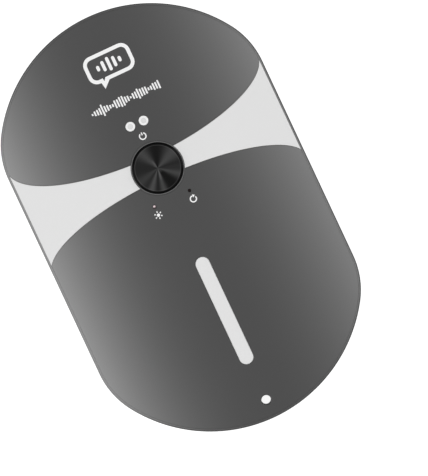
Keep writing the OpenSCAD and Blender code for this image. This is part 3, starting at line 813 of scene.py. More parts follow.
@dataclass(frozen=True)
class Finish:
    """A real material and how its surface was made.

    The colour drifts towards the second one with the grain, and the roughness drifts with it.
    """

    name: str
    colour: str
    second: str
    roughness: float
    metallic: float = 0.0
    ior: float = 1.5
    grain: Grain = Grain.SPARKED
    pitch: float = 0.3
    depth: float = 0.003
    drift: float = 0.06
    subsurface: float = 0.0
    subsurface_reach: float = 0.8
    cloud: float = 22.0

    def material(self, form: CaseForm) -> Material:
        """Makes the Blender material.

        Args:
            form: The case, on which some patterns are centred.

        Returns:
            The material.
        """
        made = bpy.data.materials.new(self.name)
        skin = Skin.of(made, form)
        skin.place = skin.add("TexCoord").outputs["Object"]
        skin.pattern = self.pattern(skin)
        smooth, rough = self.roughness - self.drift / 2, self.roughness + self.drift / 2
        height = {"Strength": 1.0, "Distance": self.depth * MM, "Height": skin.pattern}
        looks = {
            "Base Color": self.tint(skin),
            "Metallic": self.metallic,
            "Roughness": skin.add("MapRange", {0: skin.pattern, 3: smooth, 4: rough}),
            "Normal": skin.add("Bump", height),
        }
        if not self.metallic:
            looks["IOR"] = self.ior
        if self.subsurface:
            looks["Subsurface Weight"] = self.subsurface
            looks["Subsurface Scale"] = self.subsurface_reach * MM
            looks["Subsurface Radius"] = (1, 1, 1)
        shader = skin.add("BsdfPrincipled", looks | self.extras(skin))
        skin.add("OutputMaterial", {"Surface": shader})
        return made

    def pattern(self, skin: Skin) -> Output:
        """The height of the grain, from 0 to 1.

        Args:
            skin: The material so far.

        Returns:
            What carries the height.
        """
        if self.grain is Grain.WOVEN:
            wave = {"Vector": skin.place, "Scale": 1 / (self.pitch * MM) / WAVES}
            weave = [skin.add("TexWave", wave, bands_direction=way) for way in "XY"]
            threads = {i: thread.outputs["Fac"] for i, thread in enumerate(weave)}
            return skin.add("Math", threads, operation="MAXIMUM")
        creases = self.grain is Grain.CREASED
        stretch = (1, 0.03, 1) if self.grain is Grain.ROLLED else (1, 1, 1)
        noise = {
            "Vector": skin.add("Mapping", {"Vector": skin.place, "Scale": stretch}),
            "Scale": 1 / (self.pitch * MM),
            "Detail": 5.0 if creases else 2.0,
            "Roughness": 0.7 if self.grain is Grain.POWDER else 0.5,
            "Distortion": 1.5 if creases else 0.0,
        }
        return skin.add("TexNoise", noise)

    def tint(self, skin: Skin) -> Output:
        """The colour, which drifts a little with the grain and over the width of a part.

        Args:
            skin: The material so far.

        Returns:
            What carries the colour.
        """
        cloud = {"Vector": skin.place, "Scale": 1 / (self.cloud * MM), "Detail": 1.0}
        wide = skin.add("TexNoise", cloud)
        both = skin.add("Math", {0: skin.pattern, 1: GRAIN_SHARE, 2: wide}, operation="MULTIPLY_ADD")
        share = skin.add("MapRange", {0: both, 1: DRIFT_RANGE[0], 2: DRIFT_RANGE[1]})
        ends = {0: share, 6: linear(self.colour), 7: linear(self.second)}
        return skin.add("Mix", ends, data_type="RGBA")

    def extras(self, skin: Skin) -> dict[str, object]:
        """What only this finish sets on its shader, which is nothing on a plain one."""
        return {}


@dataclass(frozen=True)
class AnodisedPlate(Finish):
    """Bead-blasted aluminium, dyed dark grey, with a painted sheen that lightens its colour towards its long
    edges.

    It gives the eye a soft metal sheen, painted into its colour in place of the arched face's reflection,
    darkest along the middle of the face.
    """

    # The colour at each long edge: a painted reflection, lighter on the left than on the right
    left: tuple[str, float] = ("#7b7b7b", 2.6)
    right: tuple[str, float] = ("#747474", 2.25)

    def tint(self, skin: Skin) -> Output:
        """The colour by distance from the centre line, with the painted sheen lighter towards the sides."""
        return skin.towards_sides(super().tint(skin), (self.left, self.right), skin.form.plate_reach)


@dataclass(frozen=True)
class PaintedLightRim(Finish):
    """Moulded housing whose rim carries painted light like the plates beside it, and a painted shadow line on
    its outer edge.

    It gives the eye a satin housing, and a thin rim that blends into the plates inside a fine painted shadow
    line; the rim is painted lighter on the left and right and darker at the ends.
    Depths are measured down from the arched face, each from the one where a colour ends to the one where
    the next colour is full.
    """

    # Painted light on the rim: lighter towards the left and the right, darkest at the ends
    left: tuple[str, float] = ("#8c8c8c", 2.4)
    middle: str = "#3a3a3a"
    right: tuple[str, float] = ("#707070", 2.4)
    # The painted shadow line on the outer edge: pale at the far left, nearly black round the rest
    shadow_line_left: str = "#7a7a7a"
    shadow_line_right: str = "#0c0c0c"
    shadow_line_turn: float = 0.7
    painted_rim_depths: Point = (0.38, 0.3)
    shadow_line_depths: Point = (0.04, 0.005)

    def tint(self, skin: Skin) -> Output:
        """The housing's colour, and within a third of a millimetre of the arched face the rim's painted light
        and painted shadow line.

        Args:
            skin: The material so far.

        Returns:
            What carries the colour.
        """
        form = skin.form
        x, _, z = skin.add("SeparateXYZ", {0: skin.place}).outputs
        square = skin.add("Math", {0: x, 1: x}, operation="MULTIPLY")
        arch = {0: square, 1: 1 / (2 * form.crown_radius * MM), 2: z}
        flat = skin.add("Math", arch, operation="MULTIPLY_ADD")
        heights = [(form.face - depth) * MM for depth in (*self.painted_rim_depths, *self.shadow_line_depths)]
        # The painted shadow line's colour, pale at the far left and nearly black from there on
        away = skin.add(
            "MapRange", {0: x, 1: -form.half_width * MM, 2: -self.shadow_line_turn * form.half_width * MM}
        )
        ends = {0: away, 6: linear(self.shadow_line_left), 7: linear(self.shadow_line_right)}
        edge = skin.add("Mix", ends, data_type="RGBA")
        inner = skin.add("MapRange", {0: flat, 1: heights[2], 2: heights[3]})
        rim = skin.towards_sides(linear(self.middle), (self.left, self.right), form.half_width)
        with_painted_line = skin.add("Mix", {0: inner, 6: edge, 7: rim}, data_type="RGBA")
        # The band near the arched face that carries the rim's painted light
        on_painted_rim = skin.add("MapRange", {0: flat, 1: heights[0], 2: heights[1]})
        return skin.add("Mix", {0: on_painted_rim, 6: super().tint(skin), 7: with_painted_line}, data_type="RGBA")


@dataclass(frozen=True)
class ContactTongue(Finish):
    """Black nylon tongue with gold-plated contacts, drawn as stripes along the way in."""

    contact_colour: str = "#cdb36a"
    contact_pitch: float = 0.5
    contact_width: float = 0.28
    reach: float = 3.0

    def stripes(self, skin: Skin) -> Output:
        """1 on a contact and 0 beside it.

        Args:
            skin: The material so far.

        Returns:
            What carries the number.
        """
        across = skin.add("SeparateXYZ", {0: skin.place}).outputs[0]
        half = self.contact_pitch * MM / 2
        away = skin.add("Math", {0: across, 1: half}, operation="PINGPONG")
        beside = half - self.contact_width * MM / 2
        metal = skin.add("Math", {0: away, 1: beside}, operation="GREATER_THAN")
        side = skin.add("Math", {0: across}, operation="ABSOLUTE")
        within = skin.add("Math", {0: side, 1: self.reach * MM}, operation="LESS_THAN")
        return skin.add("Math", {0: metal, 1: within}, operation="MULTIPLY")

    def tint(self, skin: Skin) -> Output:
        """Gold on the contacts and black between them."""
        ends = {0: self.stripes(skin), 6: super().tint(skin), 7: linear(self.contact_colour)}
        return skin.add("Mix", ends, data_type="RGBA")

    def extras(self, skin: Skin) -> dict[str, object]:
        """Makes the contacts metal."""
        return {"Metallic": self.stripes(skin)}


@dataclass(frozen=True)
class StatusPipe(Finish):
    """Clear dark red polycarbonate, with a painted pale highlight a little above its middle."""

    surround_colour: str = "#361820"
    # Where the painted highlight lies, how big it is and how soft its edge is
    highlight_shift: Point = (-0.03, 0.1)
    highlight_size: float = 0.16
    highlight_blur: float = 0.12
    highlight_stretch: float = 0.8

    def tint(self, skin: Skin) -> Output:
        """A painted pale pink highlight, and dark red round it.

        Args:
            skin: The material so far.

        Returns:
            What carries the colour.
        """
        x, y = (middle + shift for middle, shift in zip(skin.form.status, self.highlight_shift))
        centred = {0: skin.place, 1: (self.highlight_stretch, 1, 0), 2: (-x * self.highlight_stretch * MM, -y * MM, 0)}
        flat = skin.add("VectorMath", centred, operation="MULTIPLY_ADD")
        away = skin.add("VectorMath", {0: flat}, operation="LENGTH")
        blur = {1: self.highlight_size * MM, 2: (self.highlight_size + self.highlight_blur) * MM}
        share = skin.add("MapRange", {0: away, **blur})
        ends = {0: share, 6: super().tint(skin), 7: linear(self.surround_colour)}
        return skin.add("Mix", ends, data_type="RGBA")


@dataclass(frozen=True)
class PaintedStreak:
    """A painted highlight on a spun face: a band of light that fans out from its centre, as far as its reach.
    """

    angle: float
    sharpness: float
    strength: float
    reach: float = 0.0


@dataclass(frozen=True)
class SpunCap(Finish):
    """Black anodised aluminium, spun to fine circles, with a polished bevel.

    It gives the eye black gloss with grey streaks that fan out from the centre, painted highlights fixed to
    the face, and a painted highlight line round its edge.
    """

    bevel_colour: str = "#161616"
    # The painted highlight line round the edge of the face: its width and strength
    highlight_line: float = 0.14
    highlight_strength: float = 0.3
    waver: float = 0.4
    anisotropy: float = 0.4
    streaks: tuple[PaintedStreak, ...] = ()
    ridges: Point = (0.8, 1.1)

    def pattern(self, skin: Skin) -> Output:
        """The height of the turned circles.

        Args:
            skin: The material so far.

        Returns:
            What carries the height.
        """
        scale = 1 / (self.pitch * MM) / WAVES
        wave = {"Vector": self._from_centre(skin), "Scale": scale, "Distortion": self.waver}
        return skin.add("TexWave", wave, wave_type="RINGS", rings_direction="Z").outputs["Fac"]

    def tint(self, skin: Skin) -> Output:
        """Black on the bevel, and black on the face with painted grey highlight streaks and a painted
        highlight line.

        Args:
            skin: The material so far.

        Returns:
            What carries the colour.
        """
        face = skin.form.button_radius - skin.form.cap_bevel
        out = self._from_centre(skin)
        radius = skin.add("VectorMath", {0: out}, operation="LENGTH")
        x, y, _ = skin.add("SeparateXYZ", {0: out}).outputs
        angle = skin.add("Math", {0: y, 1: x}, operation="ARCTAN2")
        total: Output | float = 0.0
        for streak in self.streaks:
            way = math.radians(streak.angle)
            turned = skin.add("Math", {0: angle, 1: way}, operation="SUBTRACT")
            wave = skin.add("Math", {0: turned}, operation="COSINE")
            lobe = skin.add("MapRange", {0: wave, 1: -1.0})
            narrow = skin.add("Math", {0: lobe, 1: streak.sharpness}, operation="POWER")
            if streak.reach:
                ends = {1: streak.reach * MM, 2: 0.4 * streak.reach * MM}
                near = skin.add("MapRange", {0: radius, **ends})
                narrow = skin.add("Math", {0: narrow, 1: near}, operation="MULTIPLY")
            sum_of = {0: narrow, 1: streak.strength, 2: total}
            total = skin.add("Math", sum_of, operation="MULTIPLY_ADD")
        # The circles show most in the painted highlight streaks
        ridged = skin.add("MapRange", {0: skin.pattern, 3: self.ridges[0], 4: self.ridges[1]})
        share = skin.add("Math", {0: total, 1: ridged}, operation="MULTIPLY")
        # A painted highlight line just inside the face's edge
        inner = (face - self.highlight_line) * MM
        line = skin.add("Math", {0: radius, 1: inner}, operation="GREATER_THAN")
        sum_of = {0: line, 1: self.highlight_strength, 2: share}
        with_painted_line = skin.add("Math", sum_of, operation="MULTIPLY_ADD")
        ends = {0: with_painted_line, 6: linear(self.colour), 7: linear(self.second)}
        streaked = skin.add("Mix", ends, data_type="RGBA")
        on_bevel = skin.add("Math", {0: radius, 1: face * MM}, operation="GREATER_THAN")
        ends = {0: on_bevel, 6: streaked, 7: linear(self.bevel_colour)}
        return skin.add("Mix", ends, data_type="RGBA")

    def extras(self, skin: Skin) -> dict[str, object]:
        """Draws the highlights out along the circles.

        Args:
            skin: The material so far.

        Returns:
            What the shader's inputs get, by name.
        """
        crossed = {0: (0, 0, 1), 1: self._from_centre(skin)}
        along = skin.add("VectorMath", crossed, operation="CROSS_PRODUCT")
        tangent = skin.add("VectorMath", {0: along}, operation="NORMALIZE")
        return {"Tangent": tangent, "Anisotropic": self.anisotropy}

    @staticmethod
    def _from_centre(skin: Skin) -> Output:
        """The level distance from the button's axis.

        Args:
            skin: The material so far.

        Returns:
            What carries the distance.
        """
        x, y = skin.form.button
        moved = skin.add("Mapping", {"Vector": skin.place, "Location": (-x * MM, -y * MM, 0)})
        return skin.add("VectorMath", {0: moved, 1: (1, 1, 0)}, operation="MULTIPLY")


@dataclass(frozen=True)
class FrostedGuide(Finish):
    """Clear polycarbonate filled with a white diffuser.

    It gives the eye a milky window. A round one has painted shading: white at its rim and greyer in the
    middle.
    """

    # Painted shading on each round window: white at the rim, greyer in the core
    rim_colour: str = "#fafafa"
    core: float = 0.66
    core_colour: str = "#dfdfdf"
    blur: float = 0.05

    def tint(self, skin: Skin) -> Output:
        """White, and greyer near the middle of each round window: painted shading.

        Args:
            skin: The material so far.

        Returns:
            What carries the colour.
        """
        colour = super().tint(skin)
        flat = skin.add("VectorMath", {0: skin.place, 1: (1, 1, 0)}, operation="MULTIPLY")
        whole = 1.2 * skin.form.indicator_radius
        for x, y in skin.form.indicators:
            away = skin.add("VectorMath", {0: flat, 1: (x * MM, y * MM, 0)}, operation="DISTANCE")
            for reach, shade in ((whole, self.rim_colour), (self.core, self.core_colour)):
                ends = {1: (reach + self.blur) * MM, 2: (reach - self.blur) * MM}
                share = skin.add("MapRange", {0: away, **ends})
                colour = skin.add("Mix", {0: share, 6: colour, 7: linear(shade)}, data_type="RGBA")
        return colour


@dataclass(frozen=True)
class LeadPair(Finish):
    """Soft PVC insulation on two leads, red on the left and black on the right."""

    right_colour: str = "#1c1c1e"
    middle: float = 0.0

    def tint(self, skin: Skin) -> Output:
        """Red or black by the side of the pair's middle.

        Args:
            skin: The material so far.

        Returns:
            What carries the colour.
        """
        across = skin.add("SeparateXYZ", {0: skin.place}).outputs[0]
        right = skin.add("Math", {0: across, 1: self.middle * MM}, operation="GREATER_THAN")
        ends = {0: right, 6: super().tint(skin), 7: linear(self.right_colour)}
        return skin.add("Mix", ends, data_type="RGBA")


@dataclass(frozen=True)
class BoardLaminate(Finish):
    """Glass-filled laminate under a green solder mask, with copper tracks that show through.

    It gives the eye a glossy green with paler lines and a faint weave.
    """

    track_colour: str = "#3f8a5e"
    track_pitch: float = 0.9
    track_cover: float = 0.6
    track_fold: float = 0.21
    track_sides: Point = (0.12, 0.15)

    def tint(self, skin: Skin) -> Output:
        """Green, with paler tracks at right angles.

        Args:
            skin: The material so far.

        Returns:
            What carries the colour.
        """
        cells = {"Vector": skin.place, "Scale": 1 / (5 * self.track_pitch * MM), "Randomness": 0.9}
        tracks = skin.add("TexVoronoi", cells, distance="MANHATTAN", feature="F1")
        lines = skin.add("Math", {0: tracks, 1: self.track_fold}, operation="PINGPONG")
        near, far = self.track_sides
        share = skin.add("MapRange", {0: lines, 1: near, 2: far, 4: self.track_cover})
        ends = {0: share, 6: super().tint(skin), 7: linear(self.track_colour)}
        return skin.add("Mix", ends, data_type="RGBA")


class Slot(Enum):
    """The record's material slots."""

    HOUSING = "housing_plastic"
    PLATE = "anodised_plate"
    BAND = "light_inlay"
    BEZEL = "bezel_metal"
    CAP = "spun_black_metal"
    GUIDE = "frosted_light_guide"
    STATUS = "pink_light_pipe"
    SHEET = "adhesive_sheet"
    BLACK = "black_plastic"
    EPOXY = "epoxy_package"
    LAMP = "led_package"
    RED_LAMP = "red_led_package"
    BOARD = "board_laminate"
    TIN = "tinned_steel"
    PORT = "port_steel"
    ACETAL = "white_acetal"
    RED_ACETAL = "red_acetal"
    GOLD = "gold_can"
    RUBBER = "black_rubber"
    CERAMIC = "ceramic_parts"
    FOIL = "pouch_foil"
    LEADS = "lead_insulation"
    NYLON = "nylon_connector"
    MAGNET = "nickel_magnet"
    CONE = "speaker_cone"
    MESH = "woven_mesh"
    SCREW = "screw_steel"


FINISHES: dict[Slot, Finish] = {
    # Polycarbonate and ABS from a spark-eroded mould: satin, with a grain just fine enough to see
    Slot.HOUSING: Finish(
        "pc_abs_satin", "#5a5a5c", "#565658", 0.46, ior=1.55, pitch=0.35, depth=0.006, drift=0.1
    ),
    Slot.PLATE: AnodisedPlate(
        "anodised_aluminium", "#4a4a4a", "#484848", 0.36, 1.0, pitch=0.25, depth=0.0015
    ),
    # Polycarbonate with white pigment, finely matted: an even light grey
    Slot.BAND: Finish("white_polycarbonate", "#e6e6e6", "#e4e4e4", 0.42, ior=1.58, depth=0.002),
    # Turned aluminium, lightly matted: a thin grey line
    Slot.BEZEL: Finish("matt_aluminium", "#6c6c6c", "#666666", 0.42, 1.0, grain=Grain.POWDER),
    # Spun black aluminium; its grey streaks are painted highlights, placed by angle round the centre
    Slot.CAP: SpunCap(
        "spun_black_aluminium", "#151515", "#4c4c4c", 0.34, 1.0, pitch=0.22, depth=0.0012, drift=0.08,
        streaks=(
            PaintedStreak(22, 23, 0.65), PaintedStreak(-39, 90, 0.6), PaintedStreak(-18, 200, 0.18), PaintedStreak(-99, 150, 0.6),
            PaintedStreak(-130, 125, 0.75), PaintedStreak(-164, 44, 0.43), PaintedStreak(157, 14, 0.16), PaintedStreak(113, 38, 0.58),
            PaintedStreak(103, 260, 0.7, 2.4), PaintedStreak(-97, 260, 0.8, 3.0), PaintedStreak(-68, 40, 0.5, 1.4),
            PaintedStreak(128, 200, 0.4, 1.2),
        ),
    ),
    Slot.GUIDE: FrostedGuide(
        "frosted_polycarbonate", "#e9e9e9", "#e6e6e6", 0.38, ior=1.58, pitch=0.4, depth=0.001, subsurface=0.15
    ),
    Slot.STATUS: StatusPipe("pink_polycarbonate", "#ead9dc", "#e4d0d4", 0.3, ior=1.58, depth=0.001),
    # Tissue carrier soaked with acrylic adhesive: dull cream with fibres
    Slot.SHEET: Finish(
        "acrylic_adhesive", "#c9c4b4", "#b9b3a1", 0.6, grain=Grain.CREASED, pitch=1.6, depth=0.01
    ),
    # Glass-filled nylon: black with a slightly dry surface
    Slot.BLACK: Finish("glass_filled_nylon", "#29292c", "#222224", 0.52, ior=1.53, depth=0.005),
    # Moulded epoxy: dark grey, with the filler's fine specks
    Slot.EPOXY: Finish("moulded_epoxy", "#252527", "#2f2f31", 0.62, ior=1.55, grain=Grain.POWDER, pitch=0.12),
    # Phosphor silicone in a white frame: pale yellow
    Slot.LAMP: Finish("phosphor_silicone", "#f0ebd6", "#e6dcb4", 0.35, ior=1.42, pitch=0.5, depth=0.002),
    # Clear epoxy over a red die: pink
    Slot.RED_LAMP: Finish("clear_red_epoxy", "#f0b7bd", "#e59aa3", 0.2, ior=1.53, pitch=0.5, depth=0.001),
    Slot.BOARD: BoardLaminate(
        "solder_masked_laminate", "#1f5a3c", "#1b5035", 0.32, ior=1.52, grain=Grain.WOVEN, pitch=0.5,
        depth=0.004,
    ),
    # Tin-plated steel strip: bright, with faint rolling lines
    Slot.TIN: Finish(
        "tinned_steel", "#c0c2c6", "#b2b4b8", 0.3, 1.0, grain=Grain.ROLLED, pitch=0.12, depth=0.001
    ),
    # Drawn stainless steel: bright, with lines along the draw
    Slot.PORT: Finish(
        "drawn_stainless", "#c2c4c8", "#b4b6ba", 0.26, 1.0, grain=Grain.ROLLED, pitch=0.1, depth=0.001
    ),
    # Moulded acetal: waxy off-white
    Slot.ACETAL: Finish(
        "white_acetal", "#e8e6df", "#e2dfd6", 0.34, ior=1.48, pitch=0.6, depth=0.002, subsurface=0.1
    ),
    # Dyed acetal: waxy dark red
    Slot.RED_ACETAL: Finish("red_acetal", "#6a231d", "#5e1f1a", 0.34, ior=1.48, pitch=0.6, depth=0.002),
    # Gold flash over a drawn can: warm and slightly rubbed
    Slot.GOLD: Finish(
        "gold_plate", "#c9b26a", "#bda55c", 0.28, 1.0, grain=Grain.ROLLED, pitch=0.1, depth=0.001
    ),
    # Moulded silicone rubber: deep black with no shine
    Slot.RUBBER: Finish("silicone_rubber", "#262629", "#202022", 0.72, ior=1.43, pitch=0.4, depth=0.004),
    # Fired ceramic and ferrite: brown, with powder specks
    Slot.CERAMIC: Finish("fired_ceramic", "#8c7a5c", "#7c6b50", 0.5, ior=1.6, grain=Grain.POWDER, pitch=0.15),
    # Aluminium laminate film over the cell: silver with soft creases
    Slot.FOIL: Finish(
        "pouch_foil", "#b8bcc2", "#aeb2b8", 0.36, 1.0, grain=Grain.CREASED, pitch=6, depth=0.12
    ),
    Slot.LEADS: LeadPair("pvc_insulation", "#b3272a", "#a52326", 0.42, ior=1.53, pitch=0.5, depth=0.002),
    # Unfilled nylon: off-white, slightly see-through at its edges
    Slot.NYLON: Finish(
        "natural_nylon", "#f1eee2", "#e9e5d6", 0.4, ior=1.53, pitch=0.4, depth=0.002, subsurface=0.1
    ),
    # Nickel over pressed magnet powder: silver with a faint orange-peel
    Slot.MAGNET: Finish(
        "nickel_plate", "#a9adb3", "#9da1a7", 0.25, 1.0, grain=Grain.POWDER, pitch=0.5, depth=0.002
    ),
    # Thermoformed film: dark, with a dry sheen
    Slot.CONE: Finish("thermoformed_film", "#3a3b3f", "#333438", 0.42, ior=1.6, pitch=0.5),
    # Woven polyester: crossed threads, drawn coarser than life so that they show
    Slot.MESH: Finish(
        "woven_polyester", "#202022", "#4a4a4e", 0.6, ior=1.58, grain=Grain.WOVEN, pitch=0.25, depth=0.03
    ),
    # Zinc-nickel plated steel: cool grey with a rubbed recess
    Slot.SCREW: Finish("plated_steel", "#9a9da3", "#888b91", 0.3, 1.0, grain=Grain.POWDER, depth=0.002),
}

# The housing's plastic, with painted light and a painted shadow line on its rim
RIMMED = PaintedLightRim(
    "lacquered_pc_abs", "#5a5a5c", "#565658", 0.46, ior=1.55, pitch=0.35, depth=0.006, drift=0.1
)
# Glass-filled nylon with flashed-gold contacts
TONGUE = ContactTongue("nylon_with_contacts", "#29292c", "#222224", 0.42, ior=1.53, depth=0.002)
# White screen-printing ink: matt, with a faintly uneven edge-to-edge coverage
INK = Finish("white_printing_ink", "#fcfcfc", "#f8f8f8", 0.62, pitch=0.2)


# ---- Sub-assemblies ----


@dataclass
class Assembly:
    """A group of pieces that are built and dressed together."""

    form: CaseForm
    made: list[tuple[str, str]] = field(default_factory=list, init=False)

    def add(
        self, shape: Shape, name: str, slot: Slot | None, node: str | None, body: str = "case",
        arched: bool = True, material: Material | None = None,
    ) -> Object:
        """Finishes a piece and sets it on its body.

        Args:
            shape: The piece's shape.
            name: Its name.
            slot: The record's slot that its finish belongs to, if one does.
            node: The CAD node that it replaces, if it replaces one.
            body: The body that it rides on.
            arched: Whether what lies in the face follows the arch.
            material: Its material, where it isn't the slot's.

        Returns:
            The object.
        """
        piece = shape.piece(name, material or FINISHES[slot].material(self.form), self.form, arched)
        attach(piece, body)
        if node:
            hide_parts(node)
        self.made.append((name, f"{len(piece.data.polygons)} faces on {body}"))
        return piece


def holes_at(places: Iterable[Point], radius: float, low: float, face: float, flare: float) -> list[Shape]:
    """Round windows to cut, from a low height up to the surface that they open in."""
    return [Shape.window(circle(place, radius), low, face, flare) for place in places]


def hole_in_back(place: Point, radius: float, flare: Triple, high: float, sides: int = 40) -> Shape:
    """A round hole to cut in the back, with a flared edge.

    Args:
        place: Its centre.
        radius: Its radius.
        flare: How far its edge is flared, and the heights at which the flare starts and ends.
        high: The height of its far end.
        sides: The number of pieces round it.

    Returns:
        The shape to cut.
    """
    spread, start, end = flare
    return Shape.turned([(radius + spread, start), (radius, end), (radius, high)], place, sides)


def column(
    place: Point, radius: float, low: float, high: float, bevel: float = 0.0, sides: int = 40
) -> Shape:
    """An upright round column.

    Args:
        place: Where it stands.
        radius: Its radius.
        low: The height of its foot.
        high: The height of its top.
        bevel: The size of the bevel round its top.
        sides: The number of pieces round it.

    Returns:
        The shape.
    """
    profile = [(radius, low), (radius, high - bevel)] + ([(radius - bevel, high)] if bevel else [])
    return Shape.turned(profile, place, sides)


@dataclass
class Layout(Wiring):
    """A tree of geometry nodes that lays out copies of a shape, with named inputs for its sizes."""

    given: dict[str, NodeSocket]
    copied: Output | None = None

    @classmethod
    def named(cls, name: str, **sizes: str) -> Self:
        """Starts a tree.

        Args:
            name: The tree's name.
            sizes: The inputs for its sizes, each with the kind of its socket.

        Returns:
            The layout, with an input for the shape and one for its material besides the sizes.
        """
        tree = bpy.data.node_groups.new(name, "GeometryNodeTree")
        tree.interface.new_socket("Geometry", in_out="OUTPUT", socket_type="NodeSocketGeometry")
        for label, kind in {"Shape": "Object", **sizes, "Finish": "Material"}.items():
            tree.interface.new_socket(label, in_out="INPUT", socket_type=f"NodeSocket{kind}")
        made = cls(tree, {})
        made.given = {out.name: out for out in made.add("NodeGroupInput").outputs if out.name}
        made.copied = made.add("GeometryNodeObjectInfo", {"Object": made.given["Shape"]}).outputs["Geometry"]
        return made

    def on(self, points: Output, **more: Output) -> Node:
        """Sets a copy of the shape on each point, and links the node's other inputs that are named."""
        return self.add("GeometryNodeInstanceOnPoints", {"Points": points, "Instance": self.copied, **more})

    def grow(self, copies: Output, shape: Shape, finish: Material, sizes: dict[str, float | int]) -> Shape:
        """Ends the tree, runs it and keeps what it makes as a plain mesh.

        Args:
            copies: The copies, which are made real.
            shape: The shape that is copied.
            finish: Its material.
            sizes: The value of each of the inputs for sizes.

        Returns:
            What the tree makes.
        """
        real = self.add("GeometryNodeRealizeInstances", {0: copies})
        dressed = self.add("GeometryNodeSetMaterial", {"Geometry": real, "Material": self.given["Finish"]})
        self.add("NodeGroupOutput", {0: dressed})
        pattern, host = placed("pattern", shape.mesh), placed("host", bpy.data.meshes.new("host"))
        growth = host.modifiers.new("growth", "NODES")
        growth.node_group = self.tree
        values = {"Shape": pattern, "Finish": finish, **sizes}
        for item in self.tree.interface.items_tree:
            if item.in_out == "INPUT":
                growth[item.identifier] = values[item.name]
        return Shape(kept(host, pattern))


@dataclass
class BackHousing(Assembly):
    """The rear shell, with its screw posts, lanyard post, speaker cup and sound holes."""

    soft: float = 0.15
    tongue: float = 0.75
    tongue_height: float = 0.7
    tongue_bevel: float = 0.12
    post: float = 3.0
    post_foot: float = 0.4
    recess: float = 2.05
    recess_flare: Triple = (0.6, -0.4, 0.2)
    recess_depth: float = 1.9
    screw_hole: Triple = (1.05, 0.5, 6)
    boss_hole: float = 1.9
    boss_height: float = 3.85
    lanyard_flare: Triple = (0.7, -0.3, 0.4)
    cup: tuple[float, float] = (10.15, 11.0)
    cup_foot: float = 0.8
    cup_top: float = 4.5
    gate: Triple = (8, 5, 0.4)
    sound_hole: float = 0.65
    sound_flare: Triple = (0.4, -0.2, 0.2)
    sound_depth: float = 2.2
    sound_pitch: float = 2.35

    def build(self) -> None:
        """Builds the shell."""
        form = self.form
        above, over = form.board + 1, form.seam + 1
        shell = Shape.loft(self._tub(0, 0, form.back_edge, form.seam, form.seam_bevel))
        shell = shell.cut(Shape.loft(self._tub(form.wall, form.wall, form.back_edge - form.wall, over, 0)))
        posts = [column(p, self.post, self.post_foot, form.board, self.soft) for p in form.screws]
        posts.append(column(form.lanyard, form.lanyard_post, self.cup_foot, form.board, self.soft))
        (inner, outer), foot, top, soft = self.cup, self.cup_foot, self.cup_top, self.soft
        section = [(inner, foot), (outer, foot), (outer, top - soft), (outer - soft, top)]
        section += [(inner + soft, top), (inner, top - soft)]
        gate = round_rect((form.speaker[0], form.speaker[1] - outer), *self.gate)
        cup = Shape.turned(section, form.speaker, 96, closed=True)
        cup = cup.cut(Shape.sheet(gate, form.wall, form.cut_low))
        shell = shell.joined(self._tongue(), cup, *posts)
        cuts = []
        for p in form.screws:
            cuts.append(hole_in_back(p, self.recess, self.recess_flare, self.recess_depth, 48))
            cuts += [column(p, *self.screw_hole), column(p, self.boss_hole, self.boss_height, above)]
        cuts.append(hole_in_back(form.lanyard, form.lanyard_radius, self.lanyard_flare, above))
        plastic = FINISHES[Slot.HOUSING].material(form)
        shell = shell.cut(*cuts, self._sound_holes(plastic))
        self.add(shell, "back_housing", Slot.HOUSING, "rear_shell", arched=False, material=plastic)

    def _tub(self, inset: float, low: float, round_edge: float, high: float, bevel: float) -> Rings:
        """The outlines of a tub with a round lower edge.

        Args:
            inset: How far its sides lie inside the case's.
            low: The height of its bottom.
            round_edge: The radius of its lower edge.
            high: The height of its top.
            bevel: The size of the bevel round its top.

        Returns:
            Each outline with its height.
        """
        rings = [(inset + x, low + round_edge - y) for x, y in quarter_round(round_edge, 10)[::-1]]
        rings += [(inset, low + round_edge + 0.3), (inset, high - bevel - 0.1 if bevel else high)]
        if bevel:
            rings += [(inset, high - bevel), (inset + bevel, high)]
        return [(self.form.outline(i), z) for i, z in rings]

    def _tongue(self) -> Shape:
        """The tongue that locates the front shell.

        Returns:
            The shape.
        """
        form, bevel = self.form, self.tongue_bevel
        low, high = form.seam - self.tongue, form.seam + self.tongue_height
        out, inner = form.wall - self.tongue, form.wall
        rings = [(inner, low), (out, low), (out, high - bevel), (out + bevel, high)]
        rings += [(inner - bevel, high), (inner, high - bevel)]
        return Shape.loft([(form.outline(i), z) for i, z in rings], closed=True)

    def _sound_holes(self, finish: Material) -> Shape:
        """Rings of flared holes round a middle one, laid out by geometry nodes.

        Args:
            finish: The material of the shell.

        Returns:
            The shape to cut.
        """
        holes = Layout.named("sound_holes", Pitch="Float")
        spots = [holes.add("GeometryNodePoints", {"Count": 1, "Position": (0, 0, 0)})]
        for k in (1, 2, 3):
            radius = holes.add("Math", {0: holes.given["Pitch"], 1: float(k)}, operation="MULTIPLY")
            spots.append(holes.add("GeometryNodeMeshCircle", {"Vertices": 6 * k, "Radius": radius}))
        joined = holes.add("GeometryNodeJoinGeometry")
        for spot in spots:
            holes.tree.links.new(holes.on(spot).outputs[0], joined.inputs[0])
        hole = hole_in_back((0, 0), self.sound_hole, self.sound_flare, self.sound_depth, 20)
        x, y = self.form.speaker
        grown = holes.grow(joined, hole, finish, {"Pitch": self.sound_pitch})
        return grown.moved(lambda v: (v.x + x, v.y + y, v.z))


